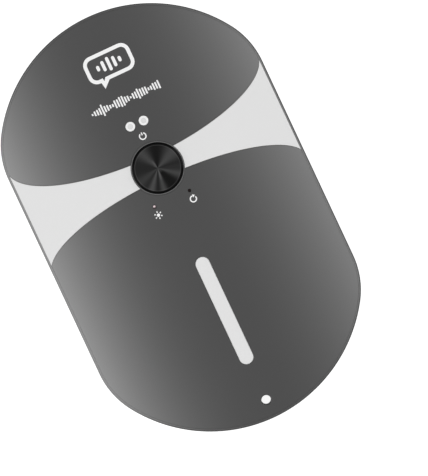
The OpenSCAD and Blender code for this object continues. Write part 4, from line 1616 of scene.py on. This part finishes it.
@dataclass
class FrontHousing(Assembly):
    """The front shell: the rim round the face, the wall under the plates, pillars and openings."""

    rim_round: float = 0.34
    rim_flare: float = 0.03
    rebate: float = 0.8
    rebate_top: float = 6.35
    pillar: float = 2.45
    boss: float = 1.85
    boss_height: float = 3.9
    sink: float = 0.7
    bore: Triple = (1.05, 3, 9.75)
    lanyard_cut: float = 5.0
    soft: float = 0.05
    port_opening: Triple = (9.18, 3.5, 1.4)
    port_depth: float = 6.0
    port_flare: float = 0.16
    mic_angle: float = 17.0
    mic_hole: float = 0.5
    mic_depth: float = 3.0
    mic_flare: float = 0.15

    def build(self) -> None:
        """Builds the shell."""
        form, top, below = self.form, self.form.deck_top, self.form.seam - 1
        shell = Shape.loft(self._outside()).cut(
            Shape.window(form.outline(form.rim), top, form.face, self.rim_flare),
            Shape.sheet(form.outline(form.wall), below, form.deck),
            Shape.sheet(form.outline(self.rebate), below, self.rebate_top),
        )
        inside = [column(p, self.pillar, form.board_top, form.deck + self.sink) for p in form.screws]
        inside += [column(p, self.boss, self.boss_height, form.deck + self.sink) for p in form.screws]
        inside.append(column(form.lanyard, form.lanyard_post, form.board, form.deck + self.sink))
        cuts = [column(p, *self.bore) for p in form.screws]
        cuts += holes_at([form.lanyard], form.lanyard_radius, self.lanyard_cut, top, self.soft)
        loose = ((form.indicators, form.indicator_radius), ((form.status, form.pinhole), form.marker_radius))
        for places, radius in loose:
            cuts += holes_at(places, radius + form.fit, form.cut_low, top, self.soft)
        for radius, low in ((form.ring_inner, form.cut_low), (form.ring_flange + form.fit, form.ring_seat)):
            cuts.append(column(form.button, radius, low, form.cut_high, sides=72))
        cuts += [Shape.window(form.bar_outline(), form.cut_low, top, self.soft), self._port(), *self._mics()]
        shell = shell.joined(*inside).cut(*cuts)
        self.add(shell, "front_housing", Slot.HOUSING, "front_shell", material=RIMMED.material(form))

    def _outside(self) -> Rings:
        """The outlines of the outer surface, from the seam up to the rim.

        Returns:
            Each outline with its height.
        """
        form, edge, bevel = self.form, self.rim_round, self.form.seam_bevel
        rings = [(bevel, form.seam), (0, form.seam + bevel), (0, form.seam + bevel + 0.15)]
        rings.append((0, form.face - edge - 0.2))
        rings += [(inset, form.face - edge + rise) for inset, rise in quarter_round(edge, 5)]
        return [(form.outline(i), z) for i, z in rings]

    def _port(self) -> Shape:
        """The charging port's opening, whose softened edge follows the curved end.

        Returns:
            The shape to cut.
        """
        form, middle = self.form, Span("charging_port_shell").middle[2]
        outline = split_sides(round_rect((0, 0), *self.port_opening), 0.8)
        tool = Shape.window(outline, -self.port_depth, 0, self.port_flare)

        def stand(v: Vector) -> Triple:
            """Stands the tool in the end wall and bends it round the end's arc."""
            back = form.end_radius - math.sqrt(form.end_radius**2 - min(abs(v.x), 20) ** 2)
            return v.x, form.half_length + v.z - back, middle + v.y

        return tool.moved(stand)

    def _mics(self) -> list[Shape]:
        """The microphone holes, one in each end wall.

        Returns:
            The shapes to cut.
        """
        form, height = self.form, Span("microphone_boots").middle[2]
        way, tools = math.radians(90 - self.mic_angle), []
        for end in (1, -1):
            out = Vector((math.cos(way), math.sin(way), 0)) * end
            mouth = Vector((0, form.end_middle * end, height)) + out * form.end_radius
            # The hole's length lies along Z, and is turned to lie along the way out
            turn = Matrix(((-out.y, out.x, 0), (0, 0, 1), out)).transposed()
            tool = Shape.window(circle((0, 0), self.mic_hole, 24), -self.mic_depth, 0, self.mic_flare)
            tools.append(tool.moved(lambda v, m=mouth, t=turn: m + t @ v))
        return tools


@dataclass
class BandEdge:
    """An edge of the light band: half an ellipse that swings away from the centre line to the sides."""

    foot: float
    climb: float
    reach: float

    def at(self, angle: float) -> Point:
        """The edge's point at an angle in degrees, where 0 is its right end and 90 the centre line."""
        a = math.radians(angle)
        return self.reach * math.cos(a), self.foot + self.climb * (1 - math.sin(a))

    def end(self, form: CaseForm) -> float:
        """The angle at which the edge meets the plates' outline on the right.

        Args:
            form: The case.

        Returns:
            The angle, in degrees.
        """
        low, high = 0.01, 45.0
        for _ in range(60):
            middle = (low + high) / 2
            x, y = self.at(middle)
            low, high = (middle, high) if x > form.side(y, form.plate_inset) else (low, middle)
        return (low + high) / 2

    def points(self, form: CaseForm, to: float = 90.0, steps: int = 48) -> list[Point]:
        """Points from the right end to an angle."""
        first = self.end(form)
        return [self.at(first + (to - first) * i / steps) for i in range(steps + 1)]


@dataclass
class FacePlates(Assembly):
    """The two anodised plates and the light inlays between them."""

    top_edge: BandEdge = field(default_factory=lambda: BandEdge(15.45, 10.8, 31.6))
    low_edge: BandEdge = field(default_factory=lambda: BandEdge(9.85, -9.4, 32.1))
    seam: float = 0.08
    edge: float = 0.05
    bar_flare: float = 0.08
    indicator_flare: float = 0.08
    status_flare: float = 0.06
    pinhole_flare: float = 0.04
    lanyard_flare: float = 0.16
    inlay_edge: float = 0.07
    inlay_bevel: float = 0.04
    inlay_tip: float = 87.0

    def build(self) -> None:
        """Builds the plates and the inlays."""
        form = self.form
        outline = form.outline(form.plate_inset)
        upper, lower = self.top_edge.points(form), self.low_edge.points(form)
        over = [p for p in outline if p[1] > upper[0][1] + 0.1]
        over += [(-x, y) for x, y in upper] + upper[-2::-1]
        under = [p for p in outline if p[1] < lower[0][1] - 0.1]
        under += lower + [(-x, y) for x, y in lower[-2::-1]]
        lights = self._windows(form.indicators, form.indicator_radius + form.fit, self.indicator_flare)
        holes = [
            Shape.window(form.bar_outline(), form.cut_low, form.face, self.bar_flare),
            *self._windows([form.status], form.marker_radius + form.fit, self.status_flare),
            *self._windows([form.pinhole], form.marker_radius, self.pinhole_flare),
            *self._windows([form.lanyard], form.lanyard_radius, self.lanyard_flare),
        ]
        for name, shape, windows in (("upper", over, lights), ("lower", under, holes)):
            plate = Shape.sheet(shape, form.plate_foot, form.face, self.edge, self.edge)
            plate = plate.cut(self._button_window(), *windows)
            self.add(plate, f"face_plate_{name}", Slot.PLATE, f"{name}_fascia")
        for side, name in ((-1, "left"), (1, "right")):
            self._inlay(side, name)

    def _windows(self, places: Iterable[Point], radius: float, flare: float) -> list[Shape]:
        """Round windows in a plate."""
        return holes_at(places, radius, self.form.cut_low, self.form.face, flare)

    def _button_window(self) -> Shape:
        """The round window that the button's trim ring stands in."""
        form = self.form
        return Shape.window(
            circle(form.button, form.ring_outer + form.fit, 96), form.cut_low, form.face, self.edge
        )

    def _inlay(self, side: int, name: str) -> None:
        """Builds the inlay on one side.

        Args:
            side: -1 for the left and 1 for the right.
            name: The side's name.
        """
        form = self.form
        upper = replace(self.top_edge, foot=self.top_edge.foot - self.seam).points(form, self.inlay_tip)
        lower = replace(self.low_edge, foot=self.low_edge.foot + self.seam).points(form, self.inlay_tip)
        reach, bend = form.half_width - form.plate_inset, form.corner_middle[1]
        outline = [*lower[::-1], (reach, bend), *upper]
        if side < 0:
            outline = [(-x, y) for x, y in outline[::-1]]
        inlay = Shape.sheet(outline, form.plate_foot, form.face, self.inlay_edge, self.inlay_bevel)
        inlay = inlay.cut(self._button_window())
        self.add(inlay, f"light_band_{name}", Slot.BAND, f"band_inlay_{name}")


@dataclass
class PowerButton(Assembly):
    """The trim ring and the push button's cap."""

    flange_thickness: float = 0.5
    ring_edge: tuple[float, float] = (0.06, 0.05)
    socket: float = 4.5
    socket_bevel: float = 0.1
    soft: float = 0.05
    dish: float = 0.1
    dish_shares: tuple[float, ...] = (0.985, 0.93, 0.8, 0.65, 0.5, 0.35, 0.2, 0.08)
    lathe_cone: Point = (0.16, 0.07)

    def build(self) -> None:
        """Builds the ring and the cap."""
        form, face = self.form, self.form.face
        inner, outer, seat = form.ring_inner, form.ring_outer, form.ring_seat
        bore, brim = self.ring_edge
        ring = [
            (inner, seat), (form.ring_flange, seat), (form.ring_flange, seat + self.flange_thickness),
            (outer, seat + self.flange_thickness), (outer, face - brim), (outer - brim, face),
            (inner + bore, face), (inner, face - bore),
        ]
        trim = Shape.turned(ring, form.button, 96, closed=True)
        self.add(trim, "button_trim_ring", Slot.BEZEL, "button_bezel")
        cap = Shape.turned(self._cap(), form.button, 96)
        self.add(cap, "button_cap_face", Slot.CAP, "button_cap", "power_button", arched=False)

    def _cap(self) -> list[Point]:
        """The cap's section: a cup with a bevelled edge and a slightly dished face.

        Returns:
            Radius and height of each point, from the socket round to the face's middle.
        """
        cap, deep = Span("button_cap"), Span("button_carrier").high[2]
        r, bevel, socket, soft = self.form.button_radius, self.form.cap_bevel, self.socket, self.soft
        edge, low, top = r - bevel, cap.low[2], cap.high[2]
        section = [
            (0, deep), (socket - self.socket_bevel, deep), (socket, deep - self.socket_bevel), (socket, low),
            (r - soft, low), (r, low + soft), (r, low + 0.2), (r, top - bevel - 0.2), (r, top - bevel - soft),
            (r - 0.02, top - bevel + 0.02), (edge + 0.03, top - 0.03), (edge - 0.03, top),
        ]
        section += [(edge * share, top - self.dish * (1 - share * share)) for share in self.dish_shares]
        # The lathe's centre leaves a tiny cone
        cone, rise = self.lathe_cone
        return [*section, (cone, top - self.dish), (0, top - self.dish + rise)]


@dataclass
class Windows(Assembly):
    """The light guides that show in the face."""

    flange: float = 0.9
    flange_tops: Triple = (10.38, 10.36, 10.39)
    flange_bevel: float = 0.05
    indicator_edge: float = 0.12
    status_edge: float = 0.08
    bar_edge: float = 0.12
    step: float = 0.1

    def build(self) -> None:
        """Builds the guides of the indicators, the status light and the light bar."""
        form, flange, foot, tops = self.form, self.flange, self.form.guide_foot, self.flange_tops
        (_, y), (spread, _) = form.indicators
        reach = form.indicator_radius + flange
        base = Shape.sheet(round_rect((0, y), 2 * (spread + reach), 2 * reach, flange), foot, tops[0])
        dome = self._dome(form.indicator_radius, self.indicator_edge)
        domes = [Shape.turned(dome, place, 40) for place in form.indicators]
        self.add(base.joined(*domes), "indicator_windows", Slot.GUIDE, "indicator_light_guide")
        pipe = column(form.status, form.marker_radius + flange, foot, tops[1], self.flange_bevel, 32)
        dome = self._dome(form.marker_radius, self.status_edge)
        pipe = pipe.joined(Shape.turned(dome, form.status, 32))
        self.add(pipe, "status_window", Slot.STATUS, "status_light_pipe")
        base = Shape.sheet(form.bar_outline(flange, 14), foot, tops[2])
        bar = Shape.sheet(form.bar_outline(-form.fit), foot + self.step, form.face, self.bar_edge)
        self.add(base.joined(bar), "light_bar_window", Slot.GUIDE, "light_bar_lens")

    def _dome(self, radius: float, edge: float) -> list[Point]:
        """The section of a round guide with a softened edge.

        Args:
            radius: The guide's radius.
            edge: The radius of its upper edge.

        Returns:
            Radius and height of each point, from its foot to the middle of its top.
        """
        face, foot = self.form.face, self.form.guide_foot + self.step
        rim = [(radius - inset, face - edge + rise) for inset, rise in quarter_round(edge, 3)]
        return [(0, foot), (radius, foot), (radius, face - 2 * edge), *rim, (0, face)]


@dataclass
class PrintedMarks(Assembly):
    """Plain white marks on the face: a speech bubble, a sound pattern and small symbols."""

    ink: float = 0.02
    line: float = 0.28
    bubble: Triple = (11.4, 6.6, 2.1)
    bubble_height: float = 38.7
    bubble_line: float = 0.85
    bubble_bars: tuple[Point, ...] = ((-2.7, 1.3), (-1.35, 2.5), (0, 3.3), (1.35, 2.5), (2.7, 1.3))
    bar: Point = (0.74, 0.36)
    row_height: float = 29.65
    row_count: int = 27
    row_pitch: float = 0.64
    row_bar: Triple = (0.38, 2.9, 0.18)
    row_wave: float = 0.42
    row_floor: float = 0.16
    row_least: float = 0.45
    row_seed: int = 7
    standby: tuple[float, float] = (20.45, 0.74)
    symbol_height: float = 2.6
    lamp_dot: float = 0.38
    lamp_ray: Triple = (0.58, 0.94, 0.13)
    arrow_radius: float = 0.7

    def build(self) -> None:
        """Prints the marks."""
        lamp, pinhole = ((place[0], self.symbol_height) for place in (self.form.status, self.form.pinhole))
        self._print(self._bubble(), "speech_mark")
        ink = INK.material(self.form)
        self._print([self._sound_bars(ink)], "sound_mark", ink)
        self._print(self._standby((0, self.standby[0]), self.standby[1]), "standby_mark")
        self._print(self._lamp(lamp), "lamp_mark")
        self._print(self._return(pinhole, self.arrow_radius), "reset_mark")

    def _print(self, shapes: Sequence[Shape], name: str, ink: Material | None = None) -> None:
        """Prints a mark that consists of several shapes."""
        whole = shapes[0].joined(*shapes[1:]) if len(shapes) > 1 else shapes[0]
        self.add(whole, name, None, None, material=ink or INK.material(self.form))

    def _flat(self, outline: Sequence[Point]) -> Shape:
        """A thin layer of ink."""
        return Shape.sheet(outline, self.form.face - 0.05, self.form.face + self.ink)

    def _bubble(self) -> list[Shape]:
        """A speech bubble with a tail and sound bars in it.

        Returns:
            Its shapes.
        """
        centre, face = (0.0, self.bubble_height), self.form.face
        outer = round_rect(centre, *self.bubble)
        low = centre[1] - self.bubble[1] / 2
        tail = [(-3.5, low + 0.6), (-3.1, low - 1.6), (-0.7, low + 0.6)]
        hollow = [(-2.75, low + 1.2), (-2.6, low + 0.1), (-1.75, low + 1.2)]
        tools = [Shape.sheet(o, face - 1, face + 1) for o in (drawn_in(outer, self.bubble_line), hollow)]
        shell = self._flat(outer).joined(self._flat(tail)).cut(*tools)
        wide, corner = self.bar
        bars = [self._flat(round_rect((x, centre[1]), wide, tall, corner)) for x, tall in self.bubble_bars]
        return [shell, *bars]

    def _sound_bars(self, ink: Material) -> Shape:
        """A row of bars of uneven height, laid out by geometry nodes.

        Args:
            ink: The bars' material.

        Returns:
            The shape.
        """
        bars = Layout.named("sound_bars", Count="Int", Pitch="Float", Seed="Int")
        step = bars.add("CombineXYZ", {0: bars.given["Pitch"]})
        row = bars.add("GeometryNodeMeshLine", {"Count": bars.given["Count"], "Offset": step})
        number = bars.add("GeometryNodeInputIndex")
        swell = bars.add("Math", {0: number, 1: self.row_wave}, operation="MULTIPLY")
        wave = bars.add("Math", {0: swell}, operation="SINE")
        lobe = bars.add("Math", {0: wave}, operation="ABSOLUTE")
        chances = {2: self.row_least, 3: 1.0, "Seed": bars.given["Seed"]}
        chance = bars.add("FunctionNodeRandomValue", chances, data_type="FLOAT")
        height = bars.add("Math", {0: lobe, 1: chance}, operation="MULTIPLY")
        spread = {0: height, 1: 1 - self.row_floor, 2: self.row_floor}
        tall = bars.add("Math", spread, operation="MULTIPLY_ADD")
        scale = bars.add("CombineXYZ", {0: 1.0, 1: tall, 2: 1.0})
        sizes = {"Count": self.row_count, "Pitch": self.row_pitch, "Seed": self.row_seed}
        bar = self._flat(round_rect((0, 0), *self.row_bar, 4))
        grown = bars.grow(bars.on(row, Scale=scale), bar, ink, sizes)
        left = -self.row_pitch * (self.row_count - 1) / 2
        return grown.moved(lambda v: (v.x + left, v.y + self.row_height, v.z))

    def _ring_part(self, centre: Point, radius: float, start: float, end: float) -> Shape:
        """A part of a ring of one line's width.

        Args:
            centre: The ring's centre.
            radius: The radius of the middle of its line.
            start: The angle at which the part starts, in degrees.
            end: The angle at which it ends.

        Returns:
            The shape.
        """
        half = self.line / 2
        inner, outer = (arc(centre, radius + s * half, start, end, 48) for s in (-1, 1))
        return self._flat(outer + inner[::-1])

    def _standby(self, centre: Point, radius: float) -> list[Shape]:
        """An open ring with a bar at its top."""
        bar = round_rect((centre[0], centre[1] + 0.75 * radius), self.line, 0.95 * radius, 0.1)
        return [self._ring_part(centre, radius, 122, 418), self._flat(bar)]

    def _lamp(self, centre: Point) -> list[Shape]:
        """A dot with short rays.

        Args:
            centre: The dot's centre.

        Returns:
            The shapes of the symbol.
        """
        shapes = [self._flat(circle(centre, self.lamp_dot, 24))]
        near, far, half = self.lamp_ray
        for i in range(6):
            a = math.radians(60 * i + 30)
            out, side = Vector((math.cos(a), math.sin(a))), Vector((-math.sin(a), math.cos(a)))
            corners = ((near, -half), (far, -half), (far, half), (near, half))
            shapes.append(self._flat([tuple(Vector(centre) + out * u + side * v) for u, v in corners]))
        return shapes

    def _return(self, centre: Point, radius: float) -> list[Shape]:
        """A round arrow.

        Args:
            centre: The centre of its ring.
            radius: The radius of its ring.

        Returns:
            The shapes of the symbol.
        """
        tip = Vector(arc(centre, radius, 70, 70, 1)[0])
        head = [tip + Vector(v) for v in ((-0.1, -0.4), (0.42, 0.05), (-0.14, 0.42))]
        return [self._ring_part(centre, radius, 85, 385), self._flat([tuple(v) for v in head])]


@dataclass
class ChargingPort(Assembly):
    """The drawn steel sleeve of the charging port, with its feet."""

    width: float = 8.94
    corner: float = 1.28
    wall: float = 0.3
    mouth: float = 0.1
    edge: float = 0.08
    foot: Triple = (1.1, 1.2, 0.2)
    foot_thickness: float = 0.3
    foot_edge: float = 0.05
    foot_reach: float = 0.4
    foot_places: tuple[float, float] = (1.2, 4.2)

    def build(self) -> None:
        """Builds the sleeve."""
        span, top = Span("charging_port_shell"), self.form.board_top
        back, middle, depth = span.low[1], span.middle[2], span.size[1]
        outline = round_rect((0, 0), self.width, span.size[2], self.corner, 12)
        sleeve = Shape.sheet(outline, 0, depth, self.edge)
        sleeve = sleeve.cut(Shape.window(drawn_in(outline, self.wall), -1, depth, self.mouth))
        sleeve = sleeve.moved(lambda v: (v.x, back + v.z, middle + v.y))
        reach = self.width / 2 + self.foot_reach
        pads = [
            round_rect((side * reach, back + y), *self.foot, 4) for side in (-1, 1) for y in self.foot_places
        ]
        feet = [Shape.sheet(pad, top, top + self.foot_thickness, self.foot_edge) for pad in pads]
        self.add(sleeve.joined(*feet), "port_sleeve", Slot.PORT, "charging_port_shell", arched=False)


@dataclass
class CaseScrews(Assembly):
    """The four screws, copied by geometry nodes."""

    head: float = 1.85
    head_high: float = 1.9
    shank: float = 1.0
    core: float = 0.8
    pitch: float = 0.42
    point: float = 0.9
    tip: float = 9.6
    tip_radius: float = 0.45
    slot: tuple[Point, Point] = ((1.5, 0.3), (2.6, 0.62))
    slot_depth: float = 0.75

    def build(self) -> None:
        """Builds the screws."""
        screws = Layout.named("case_screws", Across="Float", Along="Float")
        given, (x, y) = screws.given, self.form.screws[0]
        grid = {"Size X": given["Across"], "Size Y": given["Along"], "Vertices X": 2, "Vertices Y": 2}
        copies = screws.on(screws.add("GeometryNodeMeshGrid", grid))
        steel = FINISHES[Slot.SCREW].material(self.form)
        grown = screws.grow(copies, self._screw(), steel, {"Across": 2 * x, "Along": 2 * y})
        self.add(grown, "housing_screws", Slot.SCREW, "case_screws", arched=False, material=steel)

    def _screw(self) -> Shape:
        """One screw: a low round head with a tapered cross recess, and a threaded shank.

        Returns:
            The shape.
        """
        r, low, high = self.head, Span("case_screws").low[2], self.head_high
        section = [(0, low), (r - 0.5, low), (r - 0.25, low + 0.05), (r - 0.08, low + 0.18), (r, low + 0.4)]
        section += [(r, high), (self.shank, high)]
        z = high + 0.1
        while z < self.tip - self.point:
            section += [(self.core, z), (self.shank, z + self.pitch / 2)]
            z += self.pitch
        section += [(self.core, z), (self.tip_radius, self.tip - 0.15), (0, self.tip)]
        slots = []
        for turned in (False, True):
            ends = zip(self.slot, (low + self.slot_depth, low - 0.1))
            slot = Shape.loft([(round_rect((0, 0), *size, 0.1, 3), z) for size, z in ends])
            slots.append(slot.moved(lambda v: (-v.y, v.x, v.z)) if turned else slot)
        return Shape.turned(section, (0, 0), 24).cut(*slots)


@dataclass
class SwitchDomes(Assembly):
    """The two switches' domes, which the joints press."""

    joints: Sequence[dict] = ()
    thickness: float = 0.08
    clearance: float = 0.004
    shares: tuple[float, ...] = (0, 0.25, 0.45, 0.6, 0.72, 0.82, 0.9, 0.96, 1)

    def build(self) -> None:
        """Builds a dome for each node that a joint flattens."""
        for joint in self.joints:
            for soft in joint.get("deforming_nodes", ()):
                self._dome(soft["node"], joint["name"], round(joint["range_m"][1] / MM, 2))

    def _dome(self, node: str, joint: str, travel: float) -> None:
        """Builds a dome.

        Args:
            node: The node that it replaces.
            joint: The joint that presses it; not used.
            travel: How far that goes; not used.
        """
        span, gauge = Span(node), self.thickness
        radius, height, foot = span.size[0] / 2, span.size[2], span.low[2]
        section = [((radius - gauge) * s, foot + (height - gauge) * (1 - s**4)) for s in self.shares]
        section += [(radius * s, foot + height * (1 - s**4)) for s in self.shares[::-1]]
        dome = Shape.turned(section, span.middle[:2])
        piece = self.add(dome, f"{node}_spring", Slot.TIN, node, arched=False)
        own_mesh(piece)


@dataclass
class Inside(Assembly):
    """The nodes inside the case, which keep their CAD shapes and get real finishes."""

    def dress(self, nodes: dict[str, Object], subparts: Iterable[dict]) -> None:
        """Gives every node the finish of its slot.

        Args:
            nodes: The CAD nodes by name.
            subparts: The record's list of nodes with their slots.
        """
        shared: dict[Finish, Material] = {}
        for part in subparts:
            name, slot = part["node"], Slot(part["material_slot"])
            finish = TONGUE if name == "charging_port_tongue" else FINISHES[slot]
            if slot is Slot.LEADS:
                finish = replace(finish, name=f"pvc_{name}", middle=Span(name).middle[0])
            if finish not in shared:
                shared[finish] = finish.material(self.form)
            for holder in nodes[name].material_slots:
                holder.material = shared[finish]
            if not nodes[name].hide_render:
                self.made.append((name, f"dressed as {shared[finish].name}"))


# ---- Studio ----


@dataclass(frozen=True)
class Softbox:
    """A soft studio lamp."""

    place: Triple
    width: float
    length: float
    watts: float


@dataclass
class Studio:
    """A pale floor, soft lamps, a white backdrop and the camera."""

    floor_radius: float = 3.0
    floor_colour: str = "#a8a8a8"
    floor_glow: float = 0.93
    ambient: float = 0.6
    lamps: tuple[Softbox, ...] = (
        Softbox((-0.55, 0.15, 0.75), 0.7, 0.9, 2.4),
        Softbox((0.7, 0.1, 0.7), 0.6, 0.9, 1.5),
        Softbox((0.05, -0.8, 0.9), 0.9, 0.6, 1.0),
    )
    aim: Triple = (0.00486, -0.00749, 0.013)
    camera_up: tuple[float, float] = (0.424, 0.9056)
    lens: float = 600.0
    sensor: float = 36.0
    clip_start: float = 0.01
    frame_length: float = 0.10858

    def build(self) -> None:
        """Builds the studio."""
        self._floor()
        self._backdrop()
        for lamp in self.lamps:
            self._lamp(lamp)
        self._camera()

    def _floor(self) -> None:
        """A round floor that stays white to the camera apart from the object's shadow."""
        mesh = bpy.data.meshes.new("floor")
        rim = circle((0, 0), self.floor_radius, 96)
        mesh.from_pydata([(x, y, 0) for x, y in rim], [], [list(range(len(rim)))])
        made = bpy.data.materials.new("painted_floor")
        nodes = Wiring.of(made)
        paint = nodes.add("BsdfDiffuse", {"Color": linear(self.floor_colour)})
        glow = nodes.add("Emission", {"Strength": self.floor_glow})
        lit = nodes.add("AddShader", {0: paint, 1: glow})
        mixed = nodes.add("MixShader", {0: self._seen(nodes), 1: paint, 2: lit})
        nodes.add("OutputMaterial", {"Surface": mixed})
        mesh.materials.append(made)
        floor = placed("floor", mesh)

    def _backdrop(self) -> None:
        """A world that is white to the camera and in reflections, and lights evenly."""
        world = bpy.data.worlds.new("studio")
        bpy.context.scene.world = world
        nodes = Wiring.of(world)
        even, white = (
            nodes.add("Background", {"Color": (1, 1, 1, 1), "Strength": strength})
            for strength in (self.ambient, 1.0)
        )
        mixed = nodes.add("MixShader", {0: self._seen(nodes), 1: even, 2: white})
        nodes.add("OutputWorld", {"Surface": mixed})

    @staticmethod
    def _seen(nodes: Wiring) -> Output:
        """1 for what the camera sees directly, in gloss or through glass.

        Args:
            nodes: The nodes that read it.

        Returns:
            What carries the number.
        """
        rays = nodes.add("LightPath").outputs
        seen = rays["Is Camera Ray"]
        for kind in ("Is Glossy Ray", "Is Transmission Ray"):
            seen = nodes.add("Math", {0: seen, 1: rays[kind]}, operation="MAXIMUM")
        return seen

    @staticmethod
    def _lamp(box: Softbox) -> None:
        """Hangs a lamp that faces the object.

        Args:
            box: The lamp.
        """
        light = bpy.data.lights.new("softbox", "AREA")
        light.shape, light.size, light.size_y, light.energy = "RECTANGLE", box.width, box.length, box.watts
        lamp = placed("softbox", light)
        lamp.location = box.place
        lamp.rotation_euler = (-Vector(box.place)).to_track_quat("-Z", "Y").to_euler()
        lamp.visible_camera = False

    def _camera(self) -> None:
        """Sets the camera straight above the face, turned as the object lies."""
        lens = bpy.data.cameras.new("camera")
        lens.lens, lens.sensor_width, lens.clip_start = self.lens, self.sensor, self.clip_start
        camera = placed("camera", lens)
        up = Vector((*self.camera_up, 0)).normalized()
        right, back = Vector((up.y, -up.x, 0)), Vector((0, 0, 1))
        place = Vector(self.aim) + back * (self.frame_length * self.lens / self.sensor)
        turn = Matrix((right, up, back)).transposed().to_4x4()
        camera.matrix_world = Matrix.Translation(place) @ turn
        bpy.context.scene.camera = camera


def main() -> None:
    """Builds the translator on its frame and reports each piece."""
    logging.basicConfig(level=logging.INFO, format="%(name)s: %(message)s")
    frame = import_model()
    bpy.context.scene.view_settings.view_transform = "Standard"
    form = CaseForm.measured(frame["record"]["mounts"])
    log.info("case of %s by %s mm, %s mm thick", 2 * form.half_width, 2 * form.half_length, form.face)
    builders: list[Assembly] = [
        BackHousing(form), FrontHousing(form), FacePlates(form), PowerButton(form), Windows(form),
        PrintedMarks(form), ChargingPort(form), CaseScrews(form), SwitchDomes(form, frame["joints"]),
    ]
    for builder in builders:
        builder.build()
    inside = Inside(form)
    inside.dress(frame["nodes"], frame["record"]["subparts"])
    for builder in (*builders, inside):
        for name, what in builder.made:
            log.info("%s: %s", name, what)
    Studio().build()


if __name__ == "__main__":
    main()
